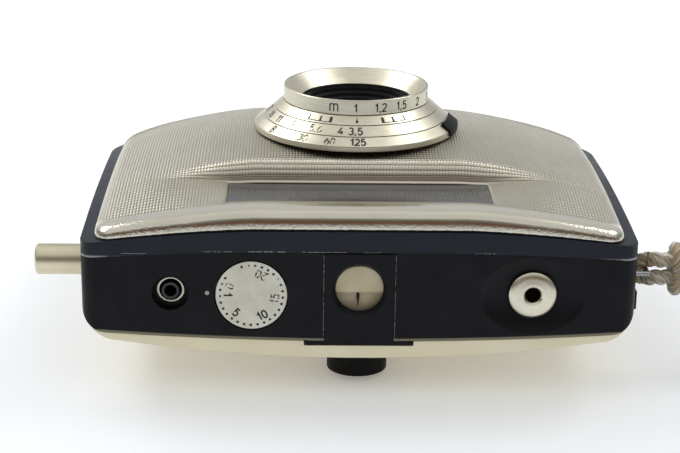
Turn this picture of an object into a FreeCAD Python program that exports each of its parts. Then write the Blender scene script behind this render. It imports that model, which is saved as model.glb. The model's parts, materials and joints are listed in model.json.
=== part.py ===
import FreeCAD, Part
import math
import os
import re

import Sketcher
from FreeCAD import Placement, Rotation, Vector

# Half-frame viewfinder camera with a push-plunger film advance, lying on its back.
# +Z is the lens direction, -Y the top plate, +X the side that carries the wrist strap.
# The sheet measures from the lens axis, which is modelled as the Z axis. The finished parts are written
# with the mouth of the tripod socket, in the middle of the base, as their origin. Lengths are millimetres.

SIZES = [
    # name, value, what it is
    ("body_half_width", 54.0, "half of the body's width"),
    ("body_half_height", 37.0, "half of the body's height, top plate to base"),
    ("corner_near", 3.0, "corner radius at the top plate, front view"),
    ("corner_far", 12.0, "corner radius at the base, front view"),
    ("shell_wall", 1.8, "wall of the moulded body shell"),
    ("seam_height", 8.75, "seam between the body shell and the front frame"),
    ("seam_fall", 1.2, "how far the seam falls back towards the ends"),
    ("shell_back", 9.4, "depth of the body shell behind the axis plane"),
    ("shell_back_bow", 1.9, "bow of the shell's back edge"),
    ("shell_corner", 5.0, "corner radius of the shell seen from the top"),
    ("lip_edge", 13.0, "front panel's lower edge at the middle"),
    ("lip_fall", 2.4, "how far that edge falls towards the ends"),
    ("frame_dome", 1.5, "dome of the frame and the panel from top to base"),
    ("panel_half_width", 51.3, "half of the front panel's width"),
    ("panel_half_height", 36.7, "half of the front panel's height"),
    ("panel_corner_near", 3.4, "front panel's corner radius at the top plate"),
    ("panel_corner_far", 10.5, "front panel's corner radius at the base"),
    ("panel_wall", 0.8, "thickness of the pressed front panel"),
    ("panel_flat", 20.0, "half of the panel's straight middle stretch"),
    ("channel_height", 17.1, "floor of the window channel"),
    ("channel_fall", 4.2, "how far that floor falls towards the ends"),
    ("crown_height", 21.95, "top of the panel's crown"),
    ("crown_dome", 2.5, "how far the crown drops from the middle to the top plate and the base"),
    ("crown_fall", 7.0, "how far the crown falls towards the ends"),
    ("channel_near", 31.4, "near edge of the window channel"),
    ("channel_far", 17.0, "far edge of the window channel"),
    ("step_run", 2.4, "length of the step from channel to crown"),
    ("edge_roll", 2.4, "rolled edge of the front panel"),
    ("frame_opening_margin", 3.6, "width of the front frame's rim"),
    ("window_half_width", 26.0, "half of the long window's width"),
    ("window_near", 30.4, "near edge of the long window"),
    ("window_far", 17.4, "far edge of the long window"),
    ("glass_thickness", 1.2, "thickness of the flat glasses"),
    ("finder_half_width", 7.6, "half of the viewfinder's width"),
    ("finder_half_height", 4.6, "half of the viewfinder's height"),
    ("finder_wall", 0.8, "wall of the viewfinder tube"),
    ("finder_axis", 25.2, "distance of the viewfinder from the lens axis"),
    ("eyepiece_radius", 6.05, "eyepiece tube"),
    ("eyepiece_end", 19.35, "end of the eyepiece behind the axis plane"),
    ("eyepiece_clearance", 0.35, "gap round the eyepiece in the back cover"),
    ("running_clearance", 0.1, "radial gap of parts that slide or turn"),
    ("meter_half_width", 6.8, "half of the meter insert's width"),
    ("meter_front", 8.5, "front end of the meter insert"),
    ("meter_hole_radius", 5.4, "hole of the meter insert"),
    ("meter_centre", 1.2, "centre of the meter hole"),
    ("flash_x", 36.65, "flash socket from the lens axis"),
    ("flash_z", 0.4, "flash socket from the axis plane"),
    ("flash_hole_radius", 3.55, "recess round the flash socket"),
    ("flash_core_radius", 1.7, "inner sleeve of the flash socket"),
    ("flash_depth", 5.5, "depth of the flash socket"),
    ("counter_x", 20.95, "frame counter from the lens axis"),
    ("counter_radius", 6.9, "frame counter dial"),
    ("counter_gap", 0.3, "gap round the dial"),
    ("dial_thickness", 1.8, "thickness of the frame counter dial"),
    ("wheel_thickness", 1.1, "thickness of the counter's toothed wheel"),
    ("staff_radius", 0.8, "staff of the frame counter"),
    ("counter_divisions", 29.0, "divisions of the frame counter"),
    ("release_x", 33.7, "release button from the lens axis"),
    ("release_z", 0.1, "release button from the axis plane"),
    ("release_radius", 4.65, "release button"),
    ("button_height", 3.4, "height of the release button's cap"),
    ("stem_radius", 2.4, "stem of the release button"),
    ("stem_end", 14.0, "end of that stem below the top plate"),
    ("release_bracket_depth", 9.4, "release bracket below the top plate"),
    ("recess_half_width", 10.3, "half of the finger recess's width"),
    ("recess_half_height", 7.7, "half of the finger recess's height"),
    ("recess_depth", 1.9, "depth of the finger recess"),
    ("thread_radius", 1.45, "bore of the cable release thread"),
    ("thread_end", 7.0, "end of that thread below the top plate"),
    ("plunger_radius", 3.05, "advance plunger"),
    ("plunger_y", 26.0, "plunger from the lens axis"),
    ("plunger_z", 3.4, "plunger in front of the axis plane"),
    ("plunger_reach", 9.8, "plunger outside the body at rest"),
    ("gear_module", 0.5, "module of the rack and its pinion"),
    ("pinion_teeth", 12.0, "teeth of the drive pinion"),
    ("pinion_x", 21.0, "pinion and sprocket from the lens axis"),
    ("pinion_z", 1.95, "pinion and sprocket behind the axis plane"),
    ("sprocket_radius", 6.0, "film drum of the sprocket"),
    ("sprocket_teeth", 8.0, "teeth of each sprocket row"),
    ("perforation_half_span", 14.1, "half of the distance of the tooth rows"),
    ("film_plane", 8.0, "film plane behind the axis plane"),
    ("gate_half_width", 9.0, "half of the picture's width"),
    ("gate_half_height", 12.0, "half of the picture's height"),
    ("cassette_radius", 11.2, "cassette chamber"),
    ("cassette_x", 37.6, "cassette chamber from the lens axis"),
    ("cassette_z", 0.4, "cassette chamber in front of the axis plane"),
    ("chassis_half_width", 48.5, "half of the chassis's width"),
    ("chassis_far", 26.0, "chassis edge towards the base"),
    ("chassis_front", 12.4, "front face of the chassis"),
    ("barrel_radius", 13.0, "lens barrel"),
    ("barrel_bore", 11.2, "bore of the lens barrel"),
    ("barrel_flange_radius", 16.0, "flange of the lens barrel"),
    ("lens_y", 7.5, "how far the lens and the film path sit below the middle of the body"),
    ("speed_radius", 21.4, "speed ring"),
    ("speed_height", 22.3, "lower edge of the speed ring"),
    ("speed_wall", 1.1, "straight wall of the speed ring"),
    ("aperture_radius", 19.24, "aperture ring"),
    ("aperture_height", 24.95, "lower edge of the aperture ring"),
    ("scale_radius", 17.15, "depth of field ring"),
    ("scale_height", 26.79, "lower edge of the depth of field ring"),
    ("focus_radius", 15.26, "focusing ring"),
    ("focus_height", 28.42, "lower edge of the focusing ring"),
    ("focus_top", 31.48, "rim of the focusing ring"),
    ("cone_radius", 11.53, "inner edge of the focusing ring's cone"),
    ("ring_gap", 0.1, "gap between the lens rings"),
    ("focus_travel", 0.9, "travel of the front lens cell"),
    ("element_radius", 6.4, "front lens element"),
    ("iris_blades", 5.0, "number of iris blades"),
    ("iris_blade_step", 0.3, "height of one iris blade in the stack"),
    ("blade_thickness", 0.15, "thickness of iris and shutter blades"),
    ("blade_pivot_radius", 10.2, "circle of the iris blades' pins"),
    ("pin_radius", 0.4, "pins of the iris and shutter blades"),
    ("shutter_edge", 5.8, "straight edge of an open shutter blade from the lens axis"),
    ("shutter_swing", 33.0, "degrees between the closed and the open shutter"),
    ("back_depth", 13.2, "back cover behind the axis plane, middle"),
    ("back_bow", 3.46, "bow of the back cover"),
    ("back_wall", 1.0, "wall of the back cover"),
    ("back_half_width", 51.9, "half of the back cover's width"),
    ("back_inset", 0.6, "back cover's inset at the top plate"),
    ("back_gap", 0.25, "gap between the body shell and the back cover"),
    ("tripod_bore", 2.55, "core radius of the quarter-inch tripod thread"),
    ("tripod_radius", 5.0, "tripod bush"),
    ("tripod_depth", 6.5, "depth of the tripod thread"),
    ("lug_y", 25.0, "strap lug from the lens axis"),
    ("lug_z", 1.8, "strap lug in front of the axis plane"),
    ("lug_reach", 3.6, "strap lug's bar from the body's side"),
    ("lug_wire", 0.45, "wire radius of the strap lug"),
    ("lug_half_span", 3.2, "half of the distance of the lug's legs"),
    ("cord_radius", 1.5, "wrist strap cord"),
    ("bush_radius", 3.9, "plunger bush"),
    ("bush_length", 4.5, "plunger bush"),
    ("rod_radius", 1.6, "plunger rod under the spring"),
    ("shoulder_x", 48.9, "plunger shoulder from the lens axis"),
    ("bracket_x", 34.4, "advance bracket from the lens axis"),
    ("sheet_metal", 1.2, "thickness of the brackets"),
    ("rack_start", 32.3, "outer end of the rack from the lens axis"),
    ("rack_end", 19.0, "inner end of the rack from the lens axis"),
    ("rack_width", 3.0, "face width of rack and pinion"),
    ("shaft_radius", 1.0, "sprocket shaft"),
    ("spring_wire", 0.25, "wire radius of the springs"),
    ("blade_chamber_radius", 13.6, "chamber of the shutter and iris blades"),
    ("diaphragm_radius", 5.6, "widest opening of the iris and the shutter"),
    ("insert_depth", 1.0, "thickness of the meter insert in its seat"),
    ("insert_foot", 0.7, "height of the insert's foot below the shell"),
    ("insert_foot_half_width", 10.4, "half of the foot's width"),
    ("meter_window_radius", 4.65, "visible window of the meter"),
    ("card_depth", 3.2, "needle card below the top plate"),
    ("needle_x", -0.25, "needle from the lens axis"),
    ("needle_pivot_z", 7.5, "needle pivot in front of the axis plane"),
    ("needle_length", 10.6, "pivot to tip of the needle"),
    ("needle_lance", 3.2, "length of the needle's lance-shaped end"),
    ("needle_staff", 0.35, "staff of the needle"),
    ("barrel_step", 19.0, "where the blade chamber ends and the narrow bore begins"),
    ("cell_back", 22.3, "rear of the front lens cell"),
    ("shutter_height", 14.6, "first shutter blade"),
    ("iris_height", 16.6, "first iris blade"),
    ("hitch_radius", 1.15, "cord of the hitch, pulled tight"),
    ("catch_y", 29.7, "back catch from the lens axis"),
    ("catch_z", 2.5, "back catch behind the axis plane"),
    ("catch_half_width", 2.2, "half of the back catch's width"),
    ("catch_half_height", 1.9, "half of the back catch's height"),
    ("catch_reach", 0.9, "back catch outside the body"),
]

END_HEIGHT = 0.25       # share of the panel's height that is left at its very ends
STEP_LEFT = 0.15        # height of the fluted step where it runs out
BASE_ROLL_START = 0.84  # where the crown starts to roll over to the base
LIP_BULGE = 0.22        # bulge of the rolled lip
STEP_BULGE = 0.17       # bulge of the fluted step
STEP_ROLL_SHARE = 0.12  # share of the step's height left to the crown's arc
BASE_ROLL_DROP = 0.3    # how far the crown has dropped where the base roll starts
PANEL_GAP = 0.05        # between the front frame and the panel that lies on it
END_TRIM = 0.02         # keeps the outermost cross-section from shrinking to a point
PANEL_STEPS = 7         # cross-sections from the middle to each end
BOSS_DEPTH = 3.6        # wall behind the finger recess
DISH_RISE = 1.0         # how far above the top plate the dish's centre lies, in dish depths
BACK_CORNER = 4.9       # rounded ends of the back cover
BACK_TIP = 0.15         # height of the back cover's very ends
SPRING_SEAT = 0.05      # between a coil spring's end and its seat
SPRING_ROOM = 0.7       # from a rod to the middle of the wire round it
BLADE_SPAN = 100.0      # degrees covered by an iris blade
EYE_RADIUS = 0.9        # rounded end of an iris blade round its pin
SHUTTER_PIN_RADIUS = 12.1
SHUTTER_PIN_ANGLE = -51.7
TIP_CUT = 5.0           # degrees cut off a shutter blade's tip beside its pin
TAB_START = -26.0       # the speed tab's place on its ring, degrees from +X
TAB_SPAN = 26.0
HITCH_PLACE = (63.6, -24.95, 1.8)
HITCH_RISE = 1.53

# Formulas that several sub-parts share.
LENS_AXIS = ("0", "lens_y", "0")
CHASSIS_NEAR = "(finder_axis - finder_half_height - finder_wall)"
SHELL_INSIDE = "(body_half_height - shell_wall)"
MOVEMENT_TOP = "(body_half_height - card_depth - 0.3)"
GLASS_BELOW = "(channel_height - 0.4 - glass_thickness)"

doc = FreeCAD.newDocument("half_frame_camera")
sheet = doc.addObject("Spreadsheet::Sheet", "Sizes")
names = [entry[0] for entry in SIZES]
for row, (name, value, note) in enumerate(SIZES, start=1):
    sheet.set(f"A{row}", name)
    sheet.set(f"B{row}", str(value))
    sheet.set(f"C{row}", note)
    sheet.setAlias(f"B{row}", name)
doc.recompute()

word = re.compile(r"[a-z_][a-z_0-9]*")
nodes = {}
ORIGIN_POINT = (-1, 1)


def size(name):
    """The value of one named size."""
    return float(sheet.get(name))


def tie(text):
    """Turns the names in a formula into references to the sheet."""
    return word.sub(lambda m: "Sizes." + m.group(0) if m.group(0) in names else m.group(0), str(text))


def bind(thing, **formulas):
    """Binds properties to formulas; place_x, place_y and place_z are the position."""
    for prop, text in formulas.items():
        path = prop.replace("place_", "Placement.Base.")
        thing.setExpression(path, tie(text))
    return thing


def keep(name, thing):
    """Registers the finished shape of a sub-part under its node name."""
    thing.Label = name
    nodes[name] = thing
    return thing


# ---------------------------------------------------------------- primitives

TURN_Y = Rotation(Vector(1, 0, 0), 90)     # local Z looks out of the top plate (-Y)
TURN_DOWN = Rotation(Vector(1, 0, 0), -90)  # local Z looks to the base (+Y)
TURN_X = Rotation(Vector(0, 1, 0), 90)     # local Z looks to the strap side (+X)
UPRIGHT = Rotation()


def cylinder(name, radius, length, at=("0", "0", "0"), turn=UPRIGHT):
    thing = doc.addObject("Part::Cylinder", name)
    thing.Placement = Placement(Vector(), turn)
    return bind(thing, Radius=radius, Height=length, place_x=at[0], place_y=at[1], place_z=at[2])


def box(name, low, high):
    thing = doc.addObject("Part::Box", name)
    return bind(thing, place_x=low[0], place_y=low[1], place_z=low[2],
                Length=f"({high[0]}) - ({low[0]})",
                Width=f"({high[1]}) - ({low[1]})",
                Height=f"({high[2]}) - ({low[2]})")


def cut(name, base, *tools):
    for number, tool in enumerate(tools, start=1):
        thing = doc.addObject("Part::Cut", f"{name}_cut_{number}")
        thing.Base = base
        thing.Tool = tool
        base = thing
    return base


def fuse(name, *things):
    thing = doc.addObject("Part::MultiFuse", f"{name}_fuse")
    thing.Shapes = list(things)
    thing.Refine = True
    return thing


def common(name, *things):
    thing = doc.addObject("Part::MultiCommon", f"{name}_common")
    thing.Shapes = list(things)
    return thing


# ---------------------------------------------------------------- bodies and sketches

def new_body(name, at=("0", "0", "0"), turn=UPRIGHT):
    body = doc.addObject("PartDesign::Body", name)
    body.Placement = Placement(Vector(), turn)
    bind(body, place_x=at[0], place_y=at[1], place_z=at[2])
    return keep(name, body)


def plane_of(body, role):
    return next(item for item in body.Origin.OriginFeatures if item.Role == role)


def new_sketch(body, name, role, offset=0.0):
    sketch = body.newObject("Sketcher::SketchObject", name)
    sketch.AttachmentSupport = [(plane_of(body, role), "")]
    sketch.MapMode = "FlatFace"
    sketch.AttachmentOffset = Placement(Vector(0, 0, offset), Rotation())
    return sketch


def bind_offset(sketch, formula):
    """Lifts a sketch off its plane by a formula."""
    sketch.setExpression("AttachmentOffset.Base.z", tie(formula))


def polygon(sketch, corners):
    """A closed outline whose corners are formulas of the sheet's sizes."""
    count = len(corners)
    rough = [Vector(10 * math.cos(2 * math.pi * k / count), 10 * math.sin(2 * math.pi * k / count), 0)
             for k in range(count)]
    first = sketch.GeometryCount
    for k in range(count):
        sketch.addGeometry(Part.LineSegment(rough[k], rough[(k + 1) % count]), False)
    for k in range(count):
        sketch.addConstraint(Sketcher.Constraint("Coincident", first + k, 2, first + (k + 1) % count, 1))
    for k, (across, up) in enumerate(corners):
        for kind, text in (("DistanceX", across), ("DistanceY", up)):
            index = sketch.addConstraint(Sketcher.Constraint(kind, *ORIGIN_POINT, first + k, 1, 1.0 + k))
            sketch.setExpression(f"Constraints[{index}]", tie(text))


def revolved(name, profile, at=("0", "0", "0"), turn=UPRIGHT):
    """A body turned from a profile of (radius, height) formulas."""
    body = new_body(name, at, turn)
    sketch = new_sketch(body, f"{name}_profile", "XZ_Plane")
    polygon(sketch, profile)
    feature = body.newObject("PartDesign::Revolution", f"{name}_turned")
    feature.Profile = sketch
    feature.ReferenceAxis = (sketch, ["V_Axis"])
    feature.Angle = 360
    return body


def ring(name, inner, outer, low, high, at=("0", "0", "0"), turn=UPRIGHT):
    profile = [(inner, low), (outer, low), (outer, high), (inner, high)]
    return revolved(name, profile, at, turn)


def fixed_wire(sketch, edges):
    """Adds lines and arcs worked out from the sizes and joins their ends."""
    first = sketch.GeometryCount
    for edge in edges:
        sketch.addGeometry(edge, False)
    count = len(edges)
    for k in range(count):
        here, there = first + k, first + (k + 1) % count
        ends = [(a, b) for a in (1, 2) for b in (1, 2)
                if sketch.getPoint(here, a).distanceToPoint(sketch.getPoint(there, b)) < 1e-6]
        sketch.addConstraint(Sketcher.Constraint("Coincident", here, ends[0][0], there, ends[0][1]))
    for k in range(count):
        sketch.addConstraint(Sketcher.Constraint("Block", first + k))


def line(a, b):
    return Part.LineSegment(Vector(a[0], a[1], 0), Vector(b[0], b[1], 0))


def arc(a, through, b):
    return Part.Arc(Vector(a[0], a[1], 0), Vector(through[0], through[1], 0), Vector(b[0], b[1], 0))


def corner_arc(centre, radius, start, end):
    circle = Part.Circle(Vector(centre[0], centre[1], 0), Vector(0, 0, 1), radius)
    return Part.ArcOfCircle(circle, math.radians(start), math.radians(end))


def front_outline(half_width, half_height, near, far):
    """The rounded front view: small corners at the top plate (-Y), large ones at the base."""
    w, d = half_width, half_height
    return [
        line((-w + near, -d), (w - near, -d)),
        corner_arc((w - near, -d + near), near, 270, 360),
        line((w, -d + near), (w, d - far)),
        corner_arc((w - far, d - far), far, 0, 90),
        line((w - far, d), (-w + far, d)),
        corner_arc((-w + far, d - far), far, 90, 180),
        line((-w, d - far), (-w, -d + near)),
        corner_arc((-w + near, -d + near), near, 180, 270),
    ]


# ---------------------------------------------------------------- the bowed surfaces

def fall(x, depth):
    """Straight in the middle, then curving back towards the ends."""
    along = max(0.0, abs(x) - size("panel_flat"))
    return depth * (along / (size("panel_half_width") - size("panel_flat"))) ** 1.5


def stations(half_width, steps):
    """Cross-section places from end to end, closer together where the surface bends."""
    return [half_width * math.sin(math.pi / 2 * k / steps) for k in range(-steps, steps + 1)]


def panel_reach(x, inset):
    """How far a cross-section reaches to the top plate and to the base."""
    half = size("panel_half_width") - inset
    reach = []
    for corner in (size("panel_corner_near"), size("panel_corner_far")):
        radius = corner - inset
        beyond = max(0.0, abs(x) - (half - radius))
        reach.append(size("panel_half_height") - inset - radius
                     + math.sqrt(max(radius ** 2 - beyond ** 2, 0.0)))
    return reach


def panel_height(x, inset):
    """The share of its full height that the panel keeps where its ends roll over."""
    radius = size("edge_roll")
    beyond = max(0.0, abs(x) - (size("panel_half_width") - inset - radius))
    return END_HEIGHT + (1 - END_HEIGHT) * math.sqrt(max(1 - (beyond / radius) ** 2, 0.0))


def drop_at(y):
    """How far the crown lies below its top."""
    return size("crown_dome") * (y / size("body_half_height")) ** 2


def dome_at(y):
    """How far the frame's domed front stands above its edge."""
    return size("frame_dome") * (1 - (y / size("body_half_height")) ** 2)


def panel_section(x, inset):
    """One cross-section of the front panel, from the lip over the channel to the base."""
    near, far = panel_reach(x, inset)
    half = size("panel_half_height")
    rim = size("lip_edge") - fall(x, size("lip_fall"))
    dome = size("frame_dome")
    share = panel_height(x, inset)
    channel_rim = rim + dome_at(size("channel_far"))
    channel = size("channel_height") - fall(x, size("channel_fall"))
    channel = channel_rim + (channel - channel_rim) * share - inset
    crown = size("crown_height") - fall(x, size("crown_fall"))
    crown = max(rim + dome + (crown - rim - dome) * share - inset, channel + STEP_LEFT)
    start = (-near, rim + dome_at(near) - inset)
    channel_near = (-size("channel_near") * near / half, channel)
    channel_far = (-size("channel_far") - inset, channel)
    step_end_y = channel_far[0] + size("step_run")
    step_end = (step_end_y, crown - drop_at(step_end_y) * share - STEP_ROLL_SHARE * (crown - channel))
    base_start_y = far * BASE_ROLL_START
    base_start = (base_start_y, crown - drop_at(base_start_y) * share - BASE_ROLL_DROP)
    end = (far, rim + dome_at(far) - inset)
    lip_bulge = between(start, channel_near, LIP_BULGE)
    base_bulge = between(end, base_start, LIP_BULGE)
    step_middle = between(channel_far, step_end, STEP_BULGE)
    crown_middle = (0.5 * (step_end[0] + base_start[0]), crown)
    middle = 0.5 * (start[0] + end[0])
    rim_middle = (middle, rim + dome_at(middle) if inset == 0 else rim - inset - dome)
    return [
        arc(start, lip_bulge, channel_near),
        line(channel_near, channel_far),
        arc(channel_far, step_middle, step_end),
        arc(step_end, crown_middle, base_start),
        arc(base_start, base_bulge, end),
        arc(end, rim_middle, start),
    ]


def between(low, high, bulge):
    """The point that bows an arc outwards between its low and its high end."""
    across, up = high[0] - low[0], high[1] - low[1]
    return (low[0] + (0.5 - bulge) * across, low[1] + (0.5 + bulge) * up)


def lofted(body, name, kind, sections):
    """A loft through (place, edges) cross-sections that stand across the X axis."""
    sketches = []
    for number, (x, edges) in enumerate(sections, start=1):
        sketch = new_sketch(body, f"{name}_section_{number}", "YZ_Plane", x)
        fixed_wire(sketch, edges)
        sketches.append(sketch)
    feature = body.newObject(kind, name)
    feature.Profile = sketches[0]
    feature.Sections = sketches[1:]
    feature.Ruled = True
    return feature


def pocket(body, name, role, corners, length="200", reverse=False, middle=True):
    """Cuts a polygon given by formulas, by default right through the body."""
    sketch = new_sketch(body, f"{name}_outline", role)
    polygon(sketch, corners)
    return pocket_sketch(body, name, sketch, length, reverse, middle)


def pocket_sketch(body, name, sketch, length="200", reverse=False, middle=True):
    feature = body.newObject("PartDesign::Pocket", name)
    feature.Profile = sketch
    feature.Reversed = reverse
    feature.Midplane = middle
    return bind(feature, Length=length)


def circle_in(sketch, centre, radius):
    """A circle whose centre and radius are formulas."""
    sketch.addGeometry(Part.Circle(Vector(1, 1, 0), Vector(0, 0, 1), 1.0), False)
    for kind, text in (("DistanceX", centre[0]), ("DistanceY", centre[1])):
        index = sketch.addConstraint(Sketcher.Constraint(kind, *ORIGIN_POINT, 0, 3, 1.0))
        sketch.setExpression(f"Constraints[{index}]", tie(text))
    index = sketch.addConstraint(Sketcher.Constraint("Radius", 0, 1.0))
    sketch.setExpression(f"Constraints[{index}]", tie(radius))


def round_pocket(body, name, role, centre, radius, length="200", reverse=False, middle=True):
    """Cuts a round hole whose centre and radius are formulas."""
    sketch = new_sketch(body, f"{name}_circle", role)
    circle_in(sketch, centre, radius)
    return pocket_sketch(body, name, sketch, length, reverse, middle)


def rectangle(left, low, right, high):
    return [(left, low), (right, low), (right, high), (left, high)]


def trim_outside(body, name, edges):
    """Cuts away all that lies outside a front view outline."""
    sketch = new_sketch(body, f"{name}_outline", "XY_Plane")
    reach = 2 * size("body_half_width")
    fixed_wire(sketch, [line(a, b) for a, b in zip(
        [(-reach, -reach), (reach, -reach), (reach, reach), (-reach, reach)],
        [(reach, -reach), (reach, reach), (-reach, reach), (-reach, -reach)])])
    fixed_wire(sketch, edges)
    return pocket_sketch(body, name, sketch)


# ---------------------------------------------------------------- casing

def front_panel():
    """The pressed panel: lip, window channel, fluted step, crown and rolled edges."""
    body = new_body("front_panel")
    wall = size("panel_wall")
    for name, kind, inset in (("panel_skin", "PartDesign::AdditiveLoft", 0.0),
                              ("panel_hollow", "PartDesign::SubtractiveLoft", wall)):
        reach = size("panel_half_width") - inset - END_TRIM
        lofted(body, name, kind, [(x, panel_section(x, inset)) for x in stations(reach, PANEL_STEPS)])
    pocket(body, "window_opening", "XY_Plane",
           rectangle("-window_half_width", "-window_near", "window_half_width", "-window_far"))
    round_pocket(body, "lens_opening", "XY_Plane", ("0", "lens_y"), "barrel_flange_radius + 0.3")


def frame_section(x):
    """Cross-section of the front frame: bowed seam below, domed front above."""
    half = size("body_half_height")
    seam = size("seam_height") - fall(x, size("seam_fall"))
    front = size("lip_edge") - fall(x, size("lip_fall")) - PANEL_GAP
    dome = size("frame_dome")
    return [
        line((-half, seam), (half, seam)),
        line((half, seam), (half, front)),
        arc((half, front), (0, front + dome), (-half, front)),
        line((-half, front), (-half, seam)),
    ]


def frame_stations():
    """The panel's cross-sections, and one more at each end of the body."""
    ends = size("body_half_width")
    return [-ends] + stations(size("panel_half_width") - END_TRIM, PANEL_STEPS) + [ends]


def front_frame():
    """The dark frame between the body shell and the front panel."""
    body = new_body("front_frame")
    lofted(body, "frame_block", "PartDesign::AdditiveLoft", [(x, frame_section(x)) for x in frame_stations()])
    trim_outside(body, "frame_trim", front_outline(size("body_half_width"), size("body_half_height"),
                                                   size("corner_near"), size("corner_far")))
    margin = size("frame_opening_margin")
    sketch = new_sketch(body, "frame_opening_outline", "XY_Plane")
    fixed_wire(sketch, front_outline(size("body_half_width") - margin, size("body_half_height") - margin,
                                     1.0, size("corner_far") - margin))
    pocket_sketch(body, "frame_opening", sketch)


def top_outline(inset, back, bow, corner, seam):
    """The body seen from the top plate: bowed seam, straight ends, bowed back."""
    w = size("body_half_width") - inset
    front = [(x, seam - fall(x, size("seam_fall"))) for x in frame_stations()]
    back_radius = (w ** 2 + bow ** 2) / (2 * bow)
    centre_z = -back + back_radius
    corner_x = w - corner
    corner_z = centre_z - math.sqrt((back_radius - corner) ** 2 - corner_x ** 2)
    touch = math.atan2(corner_z - centre_z, corner_x)
    touch_point = (back_radius * math.cos(touch), centre_z + back_radius * math.sin(touch))
    edges = [line(a, b) for a, b in zip(front, front[1:])]
    edges += [
        line(front[-1], (w, corner_z)),
        arc((w, corner_z), (corner_x + corner * math.cos(touch / 2), corner_z + corner * math.sin(touch / 2)),
            touch_point),
        arc(touch_point, (0, -back), (-touch_point[0], touch_point[1])),
        arc((-touch_point[0], touch_point[1]),
            (-corner_x - corner * math.cos(touch / 2), corner_z + corner * math.sin(touch / 2)),
            (-w, corner_z)),
        line((-w, corner_z), front[0]),
    ]
    return edges


def side_opening(body, name, side, at_y, at_z, half_y, half_z):
    """A rectangular opening through one end wall of the shell."""
    sketch = new_sketch(body, f"{name}_outline", "YZ_Plane")
    polygon(sketch, rectangle(f"{at_y} - {half_y}", f"{at_z} - {half_z}",
                              f"{at_y} + {half_y}", f"{at_z} + {half_z}"))
    return pocket_sketch(body, name, sketch, "200", reverse=side > 0, middle=False)


def body_shell():
    """The moulded shell: a ring of wall with the top plate's openings and the finger recess."""
    body = new_body("body_shell")
    sketch = new_sketch(body, "shell_outline", "XZ_Plane")
    fixed_wire(sketch, top_outline(0.0, size("shell_back"), size("shell_back_bow"),
                                   size("shell_corner"), size("seam_height")))
    pad = body.newObject("PartDesign::Pad", "shell_block")
    pad.Profile = sketch
    pad.Midplane = True
    bind(pad, Length="2 * body_half_height")
    trim_outside(body, "shell_trim", front_outline(size("body_half_width"), size("body_half_height"),
                                                   size("corner_near"), size("corner_far")))
    wall = size("shell_wall")
    sketch = new_sketch(body, "shell_hollow_outline", "XY_Plane")
    fixed_wire(sketch, front_outline(size("body_half_width") - wall, size("body_half_height") - wall,
                                     size("corner_near") - wall, size("corner_far") - wall))
    pocket_sketch(body, "shell_hollow", sketch)
    round_pocket(body, "tripod_hole", "XZ_Plane", ("0", "0"), "tripod_radius", middle=False)
    recess_boss(body)
    top_plate_openings(body)
    half = "(catch_half_height + running_clearance)"
    side_opening(body, "catch_slot", 1, "-catch_y", "-catch_z", "(catch_half_width + running_clearance)", half)
    round_pocket(body, "plunger_hole", "YZ_Plane", ("-plunger_y", "plunger_z"), "bush_radius",
                 "2 * body_half_width", reverse=False, middle=False)


def recess_boss(body):
    """Thicker wall behind the finger recess, and the dish itself."""
    sketch = new_sketch(body, "recess_boss_outline", "XZ_Plane", size("body_half_height") - BOSS_DEPTH)
    sketch.addGeometry(Part.Ellipse(Vector(size("release_x"), 0, 0), size("recess_half_width") + 1.5,
                                    size("recess_half_height") - 0.4), False)
    sketch.addConstraint(Sketcher.Constraint("Block", 0))
    boss = body.newObject("PartDesign::Pad", "recess_boss")
    boss.Profile = sketch
    bind(boss, Length=f"{BOSS_DEPTH} - 0.5 * shell_wall")
    dish = body.newObject("PartDesign::SubtractiveEllipsoid", "finger_recess")
    centre_out = size("recess_depth") * DISH_RISE
    deep = centre_out + size("recess_depth")
    spread = 1 / math.sqrt(1 - (centre_out / deep) ** 2)
    dish.Placement = Placement(Vector(size("release_x"), -size("body_half_height") - centre_out,
                                      size("release_z")), TURN_Y)
    dish.Radius1 = deep
    dish.Radius2 = size("recess_half_width") * spread
    dish.Radius3 = size("recess_half_height") * spread


def top_plate_openings(body):
    """Holes of the flash socket, the counter, the release, and the seat of the meter insert."""
    deep = "0.5 * body_half_height"
    start = size("body_half_height") - 0.5 * size("body_half_height")
    holes = [
        ("flash_hole", "-flash_x", "flash_z", "flash_hole_radius"),
        ("counter_hole", "-counter_x", "0", "counter_radius + counter_gap"),
        ("release_hole", "release_x", "release_z", "release_radius + running_clearance"),
        ("meter_hole", "0", "meter_centre", "meter_hole_radius + running_clearance"),
    ]
    for name, x, z, radius in holes:
        sketch = new_sketch(body, f"{name}_circle", "XZ_Plane", start)
        circle_in(sketch, (x, z), radius)
        pocket_sketch(body, name, sketch, deep, reverse=True, middle=False)
    seat = new_sketch(body, "insert_seat_outline", "XZ_Plane", size("body_half_height") - size("insert_depth"))
    polygon(seat, rectangle("-meter_half_width", "-2 * shell_back", "meter_half_width", "2 * shell_back"))
    pocket_sketch(body, "insert_seat", seat, "10", reverse=True, middle=False)


def back_edge(gap):
    """Centre, radius and end angle of the shell's back edge and its corner, moved out by a gap."""
    w = size("body_half_width")
    bow = size("shell_back_bow")
    corner = size("shell_corner")
    radius = (w ** 2 + bow ** 2) / (2 * bow)
    centre_z = -size("shell_back") + radius
    corner_x = w - corner
    corner_z = centre_z - math.sqrt((radius - corner) ** 2 - corner_x ** 2)
    touch = math.atan2(corner_z - centre_z, corner_x)
    touch_point = ((radius + gap) * math.cos(touch), centre_z + (radius + gap) * math.sin(touch))
    return corner_x, corner_z, corner + gap, touch, touch_point


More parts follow.
